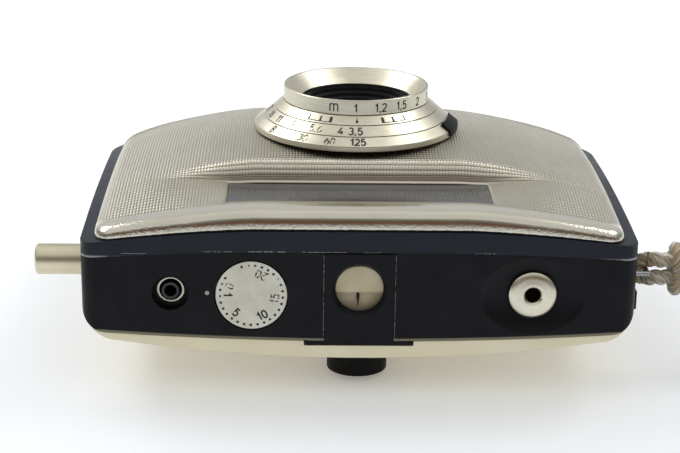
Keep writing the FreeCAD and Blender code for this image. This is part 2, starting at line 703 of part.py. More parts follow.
def back_section():
    """The back cover seen from the top plate, closed along the shell's back edge."""
    corner_x, corner_z, radius, touch, touch_point = back_edge(size("back_gap"))
    w = size("back_half_width")
    end_z = corner_z - math.sqrt(radius ** 2 - (w - corner_x) ** 2)
    end = math.atan2(end_z - corner_z, w - corner_x)
    middle = 0.5 * (touch + end)
    on_corner = (corner_x + radius * math.cos(middle), corner_z + radius * math.sin(middle))
    shoulder_x = w - BACK_CORNER
    shoulder = (shoulder_x, -size("back_depth") + size("back_bow"))
    tip = (w, end_z - BACK_TIP)
    bulge = (0.5 * (shoulder[0] + tip[0]) + 0.6, 0.5 * (shoulder[1] + tip[1]) - 0.4)
    mirror = [(-x, z) for x, z in (on_corner, touch_point, (w, end_z), shoulder, tip, bulge)]
    on_corner_l, touch_l, end_l, shoulder_l, tip_l, bulge_l = mirror
    return [
        arc(touch_l, (0, -size("shell_back") - size("back_gap")), touch_point),
        arc(touch_point, on_corner, (w, end_z)),
        line((w, end_z), tip),
        arc(tip, bulge, shoulder),
        arc(shoulder, (0, -size("back_depth")), shoulder_l),
        arc(shoulder_l, bulge_l, tip_l),
        line(tip_l, end_l),
        arc(end_l, on_corner_l, touch_l),
    ]


def back_cover():
    """The gold back: a shallow pan that follows the shell's bowed back edge."""
    body = new_body("back_cover")
    sketch = new_sketch(body, "back_outline", "XZ_Plane")
    fixed_wire(sketch, back_section())
    pad = body.newObject("PartDesign::Pad", "back_block")
    pad.Profile = sketch
    pad.Midplane = True
    bind(pad, Length="2 * (body_half_height - back_inset)")
    inset = size("back_inset")
    trim_outside(body, "back_trim", front_outline(size("body_half_width") - inset,
                                                  size("body_half_height") - inset,
                                                  size("corner_near") - inset, size("corner_far") - inset))
    hollow_x = size("back_half_width") - BACK_CORNER - size("back_wall")
    floor_end = (hollow_x, -size("back_depth") + size("back_bow") + size("back_wall"))
    floor_l = (-hollow_x, floor_end[1])
    sketch = new_sketch(body, "back_hollow_outline", "XZ_Plane")
    fixed_wire(sketch, [
        line((-hollow_x, 0), (hollow_x, 0)),
        line((hollow_x, 0), floor_end),
        arc(floor_end, (0, -size("back_depth") + size("back_wall")), floor_l),
        line(floor_l, (-hollow_x, 0)),
    ])
    pocket_sketch(body, "back_hollow", sketch, "2 * (body_half_height - back_inset - back_wall - 0.2)")
    round_pocket(body, "eyepiece_hole", "XY_Plane", ("0", "-finder_axis"),
                 "eyepiece_radius + eyepiece_clearance")
    notch = new_sketch(body, "insert_notch_outline", "XZ_Plane", size("body_half_height") - 2.0)
    polygon(notch, rectangle("-insert_foot_half_width - 0.3", "-shell_back - insert_foot - 0.45",
                             "insert_foot_half_width + 0.3", "0"))
    pocket_sketch(body, "insert_notch", notch, "10", reverse=True, middle=False)


def window_parts():
    """The long window glass, the viewfinder tube with its lenses, and the light cells."""
    top = "(channel_height - 0.4)"
    pane = box("window_pane", ("-window_half_width + 0.05", "-window_near + 0.05", GLASS_BELOW),
               ("window_half_width - 0.05", "-window_far - 0.05", top))
    flange = box("window_flange", ("-window_half_width - 0.5", "-window_near - 0.3", GLASS_BELOW),
                 ("window_half_width + 0.5", "-window_far + 0.3", "channel_height - panel_wall - 0.5"))
    keep("window_glass", fuse("window_glass", pane, flange))
    outer = rectangle("-finder_half_width - finder_wall", f"-{CHASSIS_NEAR} - 2 * (finder_half_height + finder_wall)",
                      "finder_half_width + finder_wall", f"-{CHASSIS_NEAR}")
    tube = box("finder_block", (outer[0][0], outer[0][1], "-film_plane"), (outer[2][0], outer[2][1], GLASS_BELOW))
    hollow = box("finder_hollow",
                 ("-finder_half_width", "-finder_axis - finder_half_height", "-film_plane + 1"),
                 ("finder_half_width", "-finder_axis + finder_half_height", "channel_height"))
    sight = cylinder("finder_sight", "eyepiece_radius - 1.7", "4", ("0", "-finder_axis", "-film_plane - 1"))
    keep("finder_tube", cut("finder_tube", tube, hollow, sight))
    keep("finder_lens", box("finder_lens_block",
                            ("-finder_half_width", "-finder_axis - finder_half_height", f"{GLASS_BELOW} - 2.2"),
                            ("finder_half_width", "-finder_axis + finder_half_height", f"{GLASS_BELOW} - 0.7")))
    inner, outer_x = "finder_half_width + finder_wall + 0.4", "window_half_width - 0.3"
    cells = []
    for side, low, high in (("left", f"-({outer_x})", f"-({inner})"), ("right", inner, outer_x)):
        cells.append(box(f"cell_{side}", (low, "-window_near + 0.4", f"{GLASS_BELOW} - 1.1"),
                         (high, "-window_far - 0.4", GLASS_BELOW)))
    keep("light_cells", fuse("light_cells", *cells))
    revolved("eyepiece", [("eyepiece_radius - 1.5", "-eyepiece_end"), ("eyepiece_radius", "-eyepiece_end"),
                          ("eyepiece_radius", "-film_plane"), ("eyepiece_radius - 1.7", "-film_plane"),
                          ("eyepiece_radius - 1.7", "-eyepiece_end + 2.6"),
                          ("eyepiece_radius - 1.5", "-eyepiece_end + 2.6")], ("0", "-finder_axis", "0"))
    keep("eyepiece_lens", cylinder("eyepiece_lens_disc", "eyepiece_radius - 1.7", "1.4",
                                   ("0", "-finder_axis", "-eyepiece_end + 2.8")))


def meter_parts():
    """The exposure meter behind the top plate: insert, glass, card, needle and movement."""
    top = "body_half_height"
    plate = box("insert_plate", ("-meter_half_width + 0.04", f"-{top}", "-shell_back"),
                ("meter_half_width - 0.04", f"-{top} + insert_depth - 0.02", "meter_front"))
    foot = box("insert_foot_plate", ("-insert_foot_half_width", f"-{top} + 0.1", "-shell_back - insert_foot - 0.1"),
               ("insert_foot_half_width", f"-{top} + insert_depth - 0.02", "-shell_back - 0.1"))
    join = box("insert_web", ("-meter_half_width + 0.04", f"-{top} + 0.1", "-shell_back - 0.2"),
               ("meter_half_width - 0.04", f"-{top} + insert_depth - 0.02", "-shell_back + 0.2"))
    bevel = doc.addObject("Part::Cone", "insert_bevel")
    bevel.Placement = Placement(Vector(), TURN_Y)
    bind(bevel, Radius1="meter_window_radius - 0.05", Radius2="meter_hole_radius", Height="insert_depth",
         place_y=f"-{top} + insert_depth", place_z="meter_centre")
    keep("meter_insert", cut("meter_insert", fuse("meter_insert_blank", plate, foot, join), bevel))
    at = ("0", "0", "meter_centre")
    ring("meter_glass", "0", "meter_hole_radius", f"{top} - insert_depth - 0.7", f"{top} - insert_depth - 0.02",
         at, TURN_Y)
    ring("needle_card", "0", "meter_hole_radius + 0.4", MOVEMENT_TOP, f"{top} - card_depth", at, TURN_Y)
    low, high = f"-{MOVEMENT_TOP}", f"-{MOVEMENT_TOP} + 1.5"
    frame = box("movement_frame", ("-8", low, "-6"), ("8", high, "needle_pivot_z + 1.2"))
    posts = [box(f"movement_post_{side}", (a, f"-{SHELL_INSIDE}", "-6"), (b, high, "needle_pivot_z + 1.2"))
             for side, a, b in (("left", "-8", "-6.4"), ("right", "6.4", "8"))]
    bore = cylinder("movement_bore", "needle_staff + 0.1", "6", ("needle_x", f"-{top}", "needle_pivot_z"), TURN_DOWN)
    keep("meter_movement", cut("meter_movement", fuse("movement_blank", frame, *posts), bore))
    body = new_body("meter_needle", ("needle_x", f"-{top} + card_depth - 0.5", "needle_pivot_z"), TURN_Y)
    sketch = new_sketch(body, "needle_outline", "XY_Plane")
    length, lance = size("needle_length"), size("needle_lance")
    outline = [(-0.15, 0.5), (-0.15, -length + lance), (-0.35, -length + 0.75 * lance), (0, -length),
               (0.35, -length + 0.75 * lance), (0.15, -length + lance), (0.15, 0.5)]
    fixed_wire(sketch, [line(a, b) for a, b in zip(outline, outline[1:] + outline[:1])])
    pad = body.newObject("PartDesign::Pad", "needle_blade")
    pad.Profile = sketch
    bind(pad, Length="0.2")
    staff = body.newObject("PartDesign::AdditiveCylinder", "needle_staff")
    bind(staff, Radius="needle_staff", Height="2.4", place_z="-2.2")


def flash_parts():
    """The coaxial flash socket."""
    at = ("-flash_x", "0", "flash_z")
    top = "body_half_height"
    floor = f"{top} - flash_depth"
    ring("flash_core", "flash_core_radius - 0.5", "flash_core_radius", floor, f"{top} - 1.2", at, TURN_Y)
    ring("flash_sleeve", "flash_core_radius + 0.55", "flash_core_radius + 0.95", floor, f"{top} - 2", at, TURN_Y)
    revolved("flash_insulator", [("0", f"{floor} - 0.9"), ("flash_hole_radius", f"{floor} - 0.9"),
                                 ("flash_hole_radius", f"{top} - 1.5"),
                                 ("flash_core_radius + 0.95", f"{top} - 1.5"),
                                 ("flash_core_radius + 0.95", floor), ("0", floor)], at, TURN_Y)


def gear_outline(teeth, root, tip, thickness):
    """Tapered teeth round a wheel: a loop over the teeth, each from root to tip and back."""
    points = []
    pitch = 2 * math.pi / teeth
    for number in range(int(teeth)):
        for share, radius in ((-0.5 * thickness - 0.16, root), (-0.22 * thickness, tip),
                              (0.22 * thickness, tip), (0.5 * thickness + 0.16, root)):
            angle = math.pi / 2 + pitch * (number + share)
            points.append((radius * math.cos(angle), radius * math.sin(angle)))
    return [line(a, b) for a, b in zip(points, points[1:] + points[:1])]


def counter_parts():
    """The frame counter: dial, toothed wheel with its staff, and the bridge that carries it."""
    at = ("-counter_x", "0", "0")
    top = "body_half_height"
    below = f"{top} + 0.05 - dial_thickness"
    revolved("counter_dial", [("staff_radius + 0.08", below), ("counter_radius", below),
                              ("counter_radius", f"{top} + 0.05"), ("0", f"{top} + 0.05"),
                              ("0", f"{top} - 0.7"), ("staff_radius + 0.08", f"{top} - 0.7")], at, TURN_Y)
    wheel_top = f"({below} - 0.35)"
    wheel_base = f"({wheel_top} - wheel_thickness)"
    body = new_body("counter_wheel", at, TURN_Y)
    sketch = new_sketch(body, "wheel_outline", "XY_Plane")
    bind_offset(sketch, wheel_base)
    radius = size("counter_radius") - 0.5
    fixed_wire(sketch, gear_outline(size("counter_divisions"), radius - 0.6, radius, 0.4))
    pad = body.newObject("PartDesign::Pad", "wheel_blank")
    pad.Profile = sketch
    bind(pad, Length="wheel_thickness")
    staff = body.newObject("PartDesign::AdditiveCylinder", "wheel_staff")
    bind(staff, Radius="staff_radius", Height=f"{top} - 0.8 - ({wheel_base} - 2.6)", place_z=f"{wheel_base} - 2.6")
    half, high = "(counter_radius + 1.1)", f"-({wheel_base} - 1)"
    plate = box("bridge_plate", (f"-counter_x - {half}", high, "-4"), (f"-counter_x + {half}", f"{high} + 1", "4"))
    feet = [box(f"bridge_foot_{side}", (a, f"-{SHELL_INSIDE}", "-4"), (b, f"{high} + 1", "4"))
            for side, a, b in (("left", f"-counter_x - {half}", f"-counter_x - {half} + 0.8"),
                               ("right", f"-counter_x + {half} - 0.8", f"-counter_x + {half}"))]
    bore = cylinder("bridge_bore", "staff_radius + 0.08", "12", ("-counter_x", f"-{top}", "0"), TURN_DOWN)
    keep("counter_bridge", cut("counter_bridge", fuse("bridge_blank", plate, *feet), bore))


def release_parts():
    """The shutter release with its cable thread, return spring and bracket."""
    top = "body_half_height"
    at = ("release_x", "0", "release_z")
    revolved("release_button", [
        ("0", f"{top} - stem_end"), ("stem_radius", f"{top} - stem_end"), ("stem_radius", f"{top} - button_height"),
        ("release_radius", f"{top} - button_height"), ("release_radius", f"{top} - 0.7"),
        ("release_radius - 0.6", f"{top} - 0.3"), ("thread_radius + 0.45", top), ("thread_radius", f"{top} - 0.5"),
        ("thread_radius", f"{top} - thread_end"), ("0", f"{top} - thread_end")], at, TURN_Y)
    shelf = f"-{top} + release_bracket_depth"
    plate = box("release_plate", ("release_x - 6", shelf, "-6"), ("release_x + 6", f"{shelf} + 1", "6"))
    leg = box("release_leg", ("release_x + 6 - sheet_metal", shelf, "-6"),
              ("release_x + 6", f"-{CHASSIS_NEAR}", "6"))
    bore = cylinder("release_bore", "stem_radius + running_clearance", "4",
                    ("release_x", f"{shelf} - 1", "release_z"), TURN_DOWN)
    keep("release_bracket", cut("release_bracket", fuse("release_bracket_blank", plate, leg), bore))
    length = size("release_bracket_depth") - size("button_height") - 2 * SPRING_SEAT
    spring("release_spring", size("stem_radius") + SPRING_ROOM, length, 5,
           ("release_x", f"{shelf} - {SPRING_SEAT}", "release_z"), TURN_Y)


def spring(name, radius, length, turns, at, turn):
    """A coil spring: short straight lengths of wire from turn to turn, mitred where they meet."""
    wire = size("spring_wire")
    sides = 12
    count = sides * turns
    run = length - 2 * wire
    points = [Vector(radius * math.cos(2 * math.pi * k / sides), radius * math.sin(2 * math.pi * k / sides),
                     wire + run * k / count) for k in range(count + 1)]
    path = Part.Wire([Part.makeLine(a, b) for a, b in zip(points, points[1:])])
    along = points[1] - points[0]
    section = Part.Wire(Part.makePolygon(hexagon(points[0], along, wire)))
    pipe = Part.BRepOffsetAPI.MakePipeShell(path)
    pipe.setTransitionMode(1)
    pipe.setFrenetMode(True)
    pipe.add(section, False, False)
    pipe.build()
    pipe.makeSolid()
    thing = doc.addObject("Part::Feature", name)
    thing.Shape = pipe.shape()
    thing.Placement = Placement(Vector(), turn)
    bind(thing, place_x=at[0], place_y=at[1], place_z=at[2])
    return keep(name, thing)


def hexagon(centre, normal, radius):
    """The closed corners of a regular hexagon across a direction."""
    across = normal.cross(Vector(0, 0, 1)).normalize()
    up = across.cross(normal).normalize()
    corners = [centre + across * (radius * math.cos(math.pi * k / 3)) + up * (radius * math.sin(math.pi * k / 3))
               for k in range(6)]
    return corners + corners[:1]


def rack_outline():
    """The bar of the plunger with its rack teeth on the side of the pinion."""
    module = size("gear_module")
    pitch = math.pi * module
    pitch_line = -size("pinion_z") + 0.5 * module * size("pinion_teeth")
    root, tip = pitch_line + 1.3 * module, pitch_line - 0.85 * module
    start, end = -size("rack_start"), -size("rack_end")
    points = [(start, root), (start, size("plunger_z") + size("rod_radius")),
              (end, size("plunger_z") + size("rod_radius")), (end, root)]
    count = int((end - start) / pitch)
    first = -size("pinion_x") + pitch * (int((end + size("pinion_x")) / pitch) + 0.5)
    teeth = []
    for number in range(-1, count + 1):
        middle = first - pitch * number
        if middle + 0.45 * pitch < end and middle - 0.45 * pitch > start:
            teeth += [(middle + 0.40 * pitch, root), (middle + 0.10 * pitch, tip),
                      (middle - 0.10 * pitch, tip), (middle - 0.40 * pitch, root)]
    return points + teeth


def plunger_parts():
    """The advance plunger with its rack, its bush, return spring and bracket."""
    at = ("0", "-plunger_y", "0")
    body = new_body("plunger", at)
    sketch = new_sketch(body, "rack_outline", "XZ_Plane")
    points = rack_outline()
    fixed_wire(sketch, [line(a, b) for a, b in zip(points, points[1:] + points[:1])])
    pad = body.newObject("PartDesign::Pad", "rack")
    pad.Profile = sketch
    pad.Midplane = True
    bind(pad, Length="rack_width")
    for name, radius, start, end in (
            ("rod", "rod_radius", "-shoulder_x - 1", "-rack_start + 1"),
            ("head", "plunger_radius", "-body_half_width - plunger_reach", "-shoulder_x")):
        feature = body.newObject("PartDesign::AdditiveCylinder", f"plunger_{name}")
        feature.Placement = Placement(Vector(), TURN_X)
        bind(feature, Radius=radius, Height=f"({end}) - ({start})", place_x=start, place_z="plunger_z")
    doc.recompute()
    rim = next(f"Edge{k}" for k, edge in enumerate(feature.Shape.Edges, start=1)
               if edge.BoundBox.XMax < -size("body_half_width") - size("plunger_reach") + 1e-3)
    chamfer = body.newObject("PartDesign::Chamfer", "plunger_chamfer")
    chamfer.Base = (feature, [rim])
    chamfer.Size = 0.35
    ring("plunger_bush", "plunger_radius + running_clearance", "bush_radius", "-body_half_width",
         "-body_half_width + bush_length", ("0", "-plunger_y", "plunger_z"), TURN_X)
    length = size("shoulder_x") - size("bracket_x") - 2 * SPRING_SEAT
    spring("plunger_spring", size("rod_radius") + SPRING_ROOM, length, 7,
           (f"-shoulder_x + {SPRING_SEAT}", "-plunger_y", "plunger_z"), TURN_X)
    near = "-plunger_y - 4.4"
    wall = box("bracket_wall", ("-bracket_x", near, "-5.5"),
               ("-bracket_x + sheet_metal", f"-{CHASSIS_NEAR}", "7"))
    floor = box("bracket_floor", ("-bracket_x", f"-{CHASSIS_NEAR} - sheet_metal", "-5.5"),
                ("-pinion_x + 8", f"-{CHASSIS_NEAR}", "7"))
    rod_hole = cylinder("bracket_rod_hole", "rod_radius + 0.15", "4", ("-bracket_x - 1", "-plunger_y", "plunger_z"),
                        TURN_X)
    shaft_hole = cylinder("bracket_shaft_hole", "shaft_radius + running_clearance", "10",
                          ("-pinion_x", "-plunger_y", "-pinion_z"), TURN_DOWN)
    keep("advance_bracket", cut("advance_bracket", fuse("advance_bracket_blank", wall, floor),
                                rod_hole, shaft_hole))


def film_transport():
    """The drive pinion on the sprocket's shaft, and the film sprocket."""
    at = ("-pinion_x", "-plunger_y", "-pinion_z")
    body = new_body("drive_pinion", at, TURN_DOWN)
    sketch = new_sketch(body, "pinion_outline", "XY_Plane", -0.5 * size("rack_width"))
    module, teeth = size("gear_module"), size("pinion_teeth")
    pitch_radius = 0.5 * module * teeth
    fixed_wire(sketch, gear_outline(teeth, pitch_radius - 1.25 * module, pitch_radius + 0.85 * module, 0.40))
    pad = body.newObject("PartDesign::Pad", "pinion_blank")
    pad.Profile = sketch
    bind(pad, Length="rack_width")
    round_pocket(body, "pinion_bore", "XY_Plane", ("0", "0"), "shaft_radius + 0.08")
    drum = "(perforation_half_span + 2.3)"
    body = revolved("sprocket", [
        ("0", "-plunger_y - 2.3"), ("shaft_radius", "-plunger_y - 2.3"), ("shaft_radius", f"lens_y - {drum}"),
        ("sprocket_radius", f"lens_y - {drum}"), ("sprocket_radius", "lens_y - gate_half_height"),
        ("sprocket_radius - 0.8", "lens_y - gate_half_height"), ("sprocket_radius - 0.8", "lens_y + gate_half_height"),
        ("sprocket_radius", "lens_y + gate_half_height"), ("sprocket_radius", f"lens_y + {drum}"),
        ("shaft_radius", f"lens_y + {drum}"), ("shaft_radius", "chassis_far - 0.3"),
        ("0", "chassis_far - 0.3")], ("-pinion_x", "0", "-pinion_z"), TURN_DOWN)
    for row, side in (("near", "-"), ("far", "+")):
        tooth = body.newObject("PartDesign::AdditiveWedge", f"tooth_{row}")
        for prop, value in (("Xmin", -0.9), ("Xmax", 0.9), ("Zmin", -0.9), ("Zmax", 0.9),
                            ("X2min", -0.4), ("X2max", 0.4), ("Z2min", -0.45), ("Z2max", 0.45), ("Ymin", 0)):
            setattr(tooth, prop, value)
        bind(tooth, Ymax="1.7", place_y="sprocket_radius - 0.4", place_z=f"lens_y {side} perforation_half_span")
        pattern = body.newObject("PartDesign::PolarPattern", f"teeth_{row}")
        pattern.Originals = [tooth]
        pattern.Axis = (plane_of(body, "Z_Axis"), [""])
        pattern.Angle = 360
        bind(pattern, Occurrences="sprocket_teeth")
        body.Tip = pattern


def chassis_parts():
    """The cast chassis with its cassette chambers, light box and sprocket well, and the film gate."""
    block = box("chassis_block", ("-chassis_half_width", f"-{CHASSIS_NEAR}", "-film_plane + 0.8"),
                ("chassis_half_width", "chassis_far", "chassis_front"))
    ears = box("chassis_ears", (f"-(body_half_width - shell_wall)", "-8", "-film_plane + 2.5"),
               ("body_half_width - shell_wall", "12", "seam_height - seam_fall - 1"))
    first, deep = f"(-{CHASSIS_NEAR} + 1.5)", f"(chassis_far + {CHASSIS_NEAR} - 3)"
    chambers = [("left_cassette", "-cassette_x", "cassette_z", "cassette_radius"),
                ("right_cassette", "cassette_x", "cassette_z", "cassette_radius"),
                ("sprocket", "-pinion_x", "-pinion_z", "(sprocket_radius + 1.9)")]
    tools = []
    for name, x, z, radius in chambers:
        tools.append(cylinder(f"{name}_chamber", radius, deep, (x, first, z), TURN_DOWN))
        tools.append(box(f"{name}_mouth", (f"{x} - {radius}", first, "-film_plane - 1"),
                         (f"{x} + {radius}", f"{first} + {deep}", z)))
    tools.append(cylinder("sprocket_bore", "shaft_radius + running_clearance", f"{CHASSIS_NEAR} + chassis_far + 2",
                          ("-pinion_x", f"-{CHASSIS_NEAR} - 1", "-pinion_z"), TURN_DOWN))
    tools.append(box("light_box", ("-gate_half_width - 2", "lens_y - gate_half_height - 2", "-film_plane - 1"),
                     ("gate_half_width + 2", "lens_y + gate_half_height + 2", "chassis_front - 1.6")))
    tools.append(cylinder("lens_seat", "blade_chamber_radius - 1.6", "10", ("0", "lens_y", "chassis_front - 5")))
    keep("chassis", cut("chassis", fuse("chassis_blank", block, ears), *tools))
    reach = "(gate_half_height + 5.6)"
    plate = box("gate_plate", ("-gate_half_width - 3", f"lens_y - {reach}", "-film_plane"),
                ("gate_half_width + 3", f"lens_y + {reach}", "-film_plane + 0.8"))
    opening = box("gate_opening", ("-gate_half_width", "lens_y - gate_half_height", "-film_plane - 1"),
                  ("gate_half_width", "lens_y + gate_half_height", "0"))
    rails = [box(f"gate_rail_{row}", ("-gate_half_width - 3", low, "-film_plane - 0.3"),
                 ("gate_half_width + 3", high, "-film_plane + 0.8"))
             for row, low, high in (("near", f"lens_y - {reach} - 0.8", f"lens_y - {reach}"),
                                    ("far", f"lens_y + {reach}", f"lens_y + {reach} + 0.8"))]
    keep("film_gate", cut("film_gate", fuse("film_gate_blank", plate, *rails), opening))


def lens_parts():
    """Barrel, rings and glasses of the taking lens, all turned about the lens axis."""
    gap = "ring_gap"
    chamber, bore = "blade_chamber_radius", "barrel_bore"
    revolved("lens_barrel", [
        (chamber, "chassis_front + 0.05"), ("barrel_flange_radius", "chassis_front + 0.05"),
        ("barrel_flange_radius", f"speed_height - {gap}"), ("barrel_radius", f"speed_height - {gap}"),
        ("barrel_radius", f"focus_height - {gap}"), (bore, f"focus_height - {gap}"),
        (bore, "barrel_step"), (chamber, "barrel_step")], LENS_AXIS)
    inner = f"barrel_radius + {gap}"
    revolved("speed_ring", [
        (inner, "speed_height"), ("speed_radius", "speed_height"), ("speed_radius", "speed_height + speed_wall"),
        ("aperture_radius", f"aperture_height - {gap}"), (inner, f"aperture_height - {gap}")], LENS_AXIS)
    revolved("aperture_ring", [
        (inner, "aperture_height"), ("aperture_radius", "aperture_height"),
        ("scale_radius + 0.05", f"scale_height - {gap}"), (inner, f"scale_height - {gap}")], LENS_AXIS)
    revolved("scale_ring", [
        ("barrel_radius", "scale_height"), ("scale_radius", "scale_height"),
        ("focus_radius + 0.1", f"focus_height - {gap}"), ("barrel_radius", f"focus_height - {gap}")], LENS_AXIS)
    revolved("focus_ring", [
        ("cone_radius", "focus_height"), ("focus_radius", "focus_height"), ("focus_radius", "focus_top - 0.15"),
        ("focus_radius - 0.15", "focus_top"), ("focus_radius - 0.5", "focus_top"),
        ("cone_radius", "focus_height + 0.25")], LENS_AXIS)
    step = "(cone_radius - element_radius - 0.5) / 3"
    front = "(focus_height - 0.35)"
    groove = [(f"{bore} - {gap}", "cell_back"), (f"{bore} - {gap}", front)]
    for number in range(3):
        radius = f"{bore} - 0.5 - {step} * {number}"
        groove += [(radius, f"{front} - 0.8 * {number}"), (radius, f"{front} - 0.8 * {number + 1}")]
    groove += [("element_radius", f"{front} - 2.8"), ("element_radius", "cell_back")]
    revolved("lens_cell", groove, LENS_AXIS)
    glass("front_element", "element_radius - 0.02", "cell_back + 0.6", "cell_back + 2.9", 0.7)
    ring("inner_cell", "element_radius - 0.6", bore, "barrel_step + 0.1", "cell_back - focus_travel - 0.4",
         LENS_AXIS)
    glass("middle_element", "element_radius - 0.62", "barrel_step + 0.3", "barrel_step + 1.2", 0.3)
    glass("rear_element", "diaphragm_radius - 0.02", "chassis_front + 0.4", "chassis_front + 1.1", 0.4)


def glass(name, radius, low, high, crown):
    """A lens element: a disc whose front is domed by a sphere."""
    disc = cylinder(f"{name}_disc", radius, f"{high} + {crown} - ({low})", ("0", "lens_y", low))
    ball = doc.addObject("Part::Sphere", f"{name}_ball")
    curve = f"(({radius})^2 + {crown}^2) / (2 * {crown})"
    bind(ball, Radius=curve, place_y="lens_y", place_z=f"{high} + {crown} - ({curve})")
    return keep(name, common(name, disc, ball))


def turned(angle):
    return Rotation(Vector(0, 0, 1), angle)


def on_circle(radius, angle):
    """A point at an angle in degrees from +X."""
    return (radius * math.cos(math.radians(angle)), radius * math.sin(math.radians(angle)))


def pins(name, disc, places, low, high):
    """Stands pins on a plate and keeps the two as one piece."""
    studs = []
    for number, (x, y) in enumerate(places, start=1):
        studs.append(cylinder(f"{name}_pin_{number}", "pin_radius", f"{high} - ({low})", (str(x), f"lens_y + {y}", low)))
    return keep(name, fuse(name, disc, *studs))


def iris_blade(number):
    """A crescent blade round the open diaphragm, with the hole for its pin."""
    angle = 360.0 * number / size("iris_blades")
    body = new_body(f"iris_blade_{number + 1}", ("0", "lens_y", f"iris_height + {number} * iris_blade_step"),
                    turned(angle))
    pivot = size("blade_pivot_radius")
    inner, outer = size("diaphragm_radius") + 0.25, pivot - 1.3
    eye = math.degrees(math.asin(EYE_RADIUS / pivot))
    sketch = new_sketch(body, f"iris_outline_{number + 1}", "XY_Plane")
    fixed_wire(sketch, [
        arc(on_circle(pivot, -eye), (pivot + EYE_RADIUS, 0), on_circle(pivot, eye)),
        line(on_circle(pivot, eye), on_circle(outer, 2 * eye)),
        arc(on_circle(outer, 2 * eye), on_circle(outer, 0.5 * BLADE_SPAN), on_circle(outer, BLADE_SPAN)),
        line(on_circle(outer, BLADE_SPAN), on_circle(inner, BLADE_SPAN)),
        arc(on_circle(inner, BLADE_SPAN), on_circle(inner, 0.5 * BLADE_SPAN), on_circle(inner, -eye)),
        line(on_circle(inner, -eye), on_circle(pivot, -eye)),
    ])
    pad = body.newObject("PartDesign::Pad", f"iris_leaf_{number + 1}")
    pad.Profile = sketch
    bind(pad, Length="blade_thickness")
    round_pocket(body, f"iris_eye_{number + 1}", "XY_Plane", ("blade_pivot_radius", "0"), "pin_radius + 0.06")


def shutter_blade(name, height, side):
    """A shutter blade: a segment of the chamber's circle, swung over its half of the opening."""
    reach = size("blade_chamber_radius") - 0.8
    edge = size("shutter_edge")
    half = math.degrees(math.acos(edge / reach))
    straight_end = (edge, -on_circle(reach, half)[1] + 1.8)
    pin = Vector(*on_circle(SHUTTER_PIN_RADIUS, SHUTTER_PIN_ANGLE), 0)
    turn = turned(size("shutter_swing"))
    swung = Placement(pin - turn.multVec(pin), turn)
    place = Placement(Vector(), turned(180 * side)).multiply(swung)
    body = new_body(name, (str(place.Base.x), f"lens_y + {place.Base.y}", height), place.Rotation)
    sketch = new_sketch(body, f"{name}_outline", "XY_Plane")
    fixed_wire(sketch, [
        line(on_circle(reach, half), straight_end),
        line(straight_end, on_circle(reach, TIP_CUT - half)),
        corner_arc((0, 0), reach, TIP_CUT - half, 0),
        corner_arc((0, 0), reach, 0, half),
    ])
    pad = body.newObject("PartDesign::Pad", f"{name}_leaf")
    pad.Profile = sketch
    bind(pad, Length="blade_thickness")
    round_pocket(body, f"{name}_eye", "XY_Plane", (str(pin.x), str(pin.y)), "pin_radius + 0.06")


def shutter_parts():
    """Plates with the blades' pins, the two shutter blades and the iris blades."""
    chamber = "blade_chamber_radius - 0.1"
    plate = ring("shutter_plate_disc", "diaphragm_radius", chamber, "chassis_front + 0.3", "shutter_height - 0.2",
                 LENS_AXIS)
    del nodes["shutter_plate_disc"]
    places = [on_circle(SHUTTER_PIN_RADIUS, SHUTTER_PIN_ANGLE + turn) for turn in (0, 180)]
    pins("shutter_plate", plate, places, "shutter_height - 0.5", "shutter_height + 0.8")
    plate = ring("iris_plate_disc", "diaphragm_radius", chamber, "iris_height - 0.8", "iris_height - 0.1", LENS_AXIS)
    del nodes["iris_plate_disc"]
    count = int(size("iris_blades"))
    places = [on_circle(size("blade_pivot_radius"), 360.0 * number / count) for number in range(count)]
    pins("iris_plate", plate, places, "iris_height - 0.5", "iris_height + iris_blades * iris_blade_step + 0.2")
    for number in range(count):
        iris_blade(number)
    for side, name in enumerate(("shutter_blade_left", "shutter_blade_right")):
        shutter_blade(name, f"shutter_height + {side} * 0.4", side)


def speed_tab():
    """The black grip of the speed ring: a short sector raised over its cone."""
    body = new_body("speed_tab", LENS_AXIS, turned(TAB_START))
    sketch = new_sketch(body, "tab_section", "XZ_Plane")
    polygon(sketch, [
        ("speed_radius + 0.02", "speed_height + 0.2"), ("speed_radius + 0.35", "speed_height + 0.2"),
        ("speed_radius + 0.35", "speed_height + speed_wall + 0.3"),
        ("aperture_radius + 0.5", "aperture_height + 0.35"),
        ("aperture_radius + 0.25", "aperture_height"), ("speed_radius + 0.02", "speed_height + speed_wall + 0.02")])
    feature = body.newObject("PartDesign::Revolution", "tab_turned")
    feature.Profile = sketch
    feature.ReferenceAxis = (sketch, ["V_Axis"])
    feature.Angle = TAB_SPAN


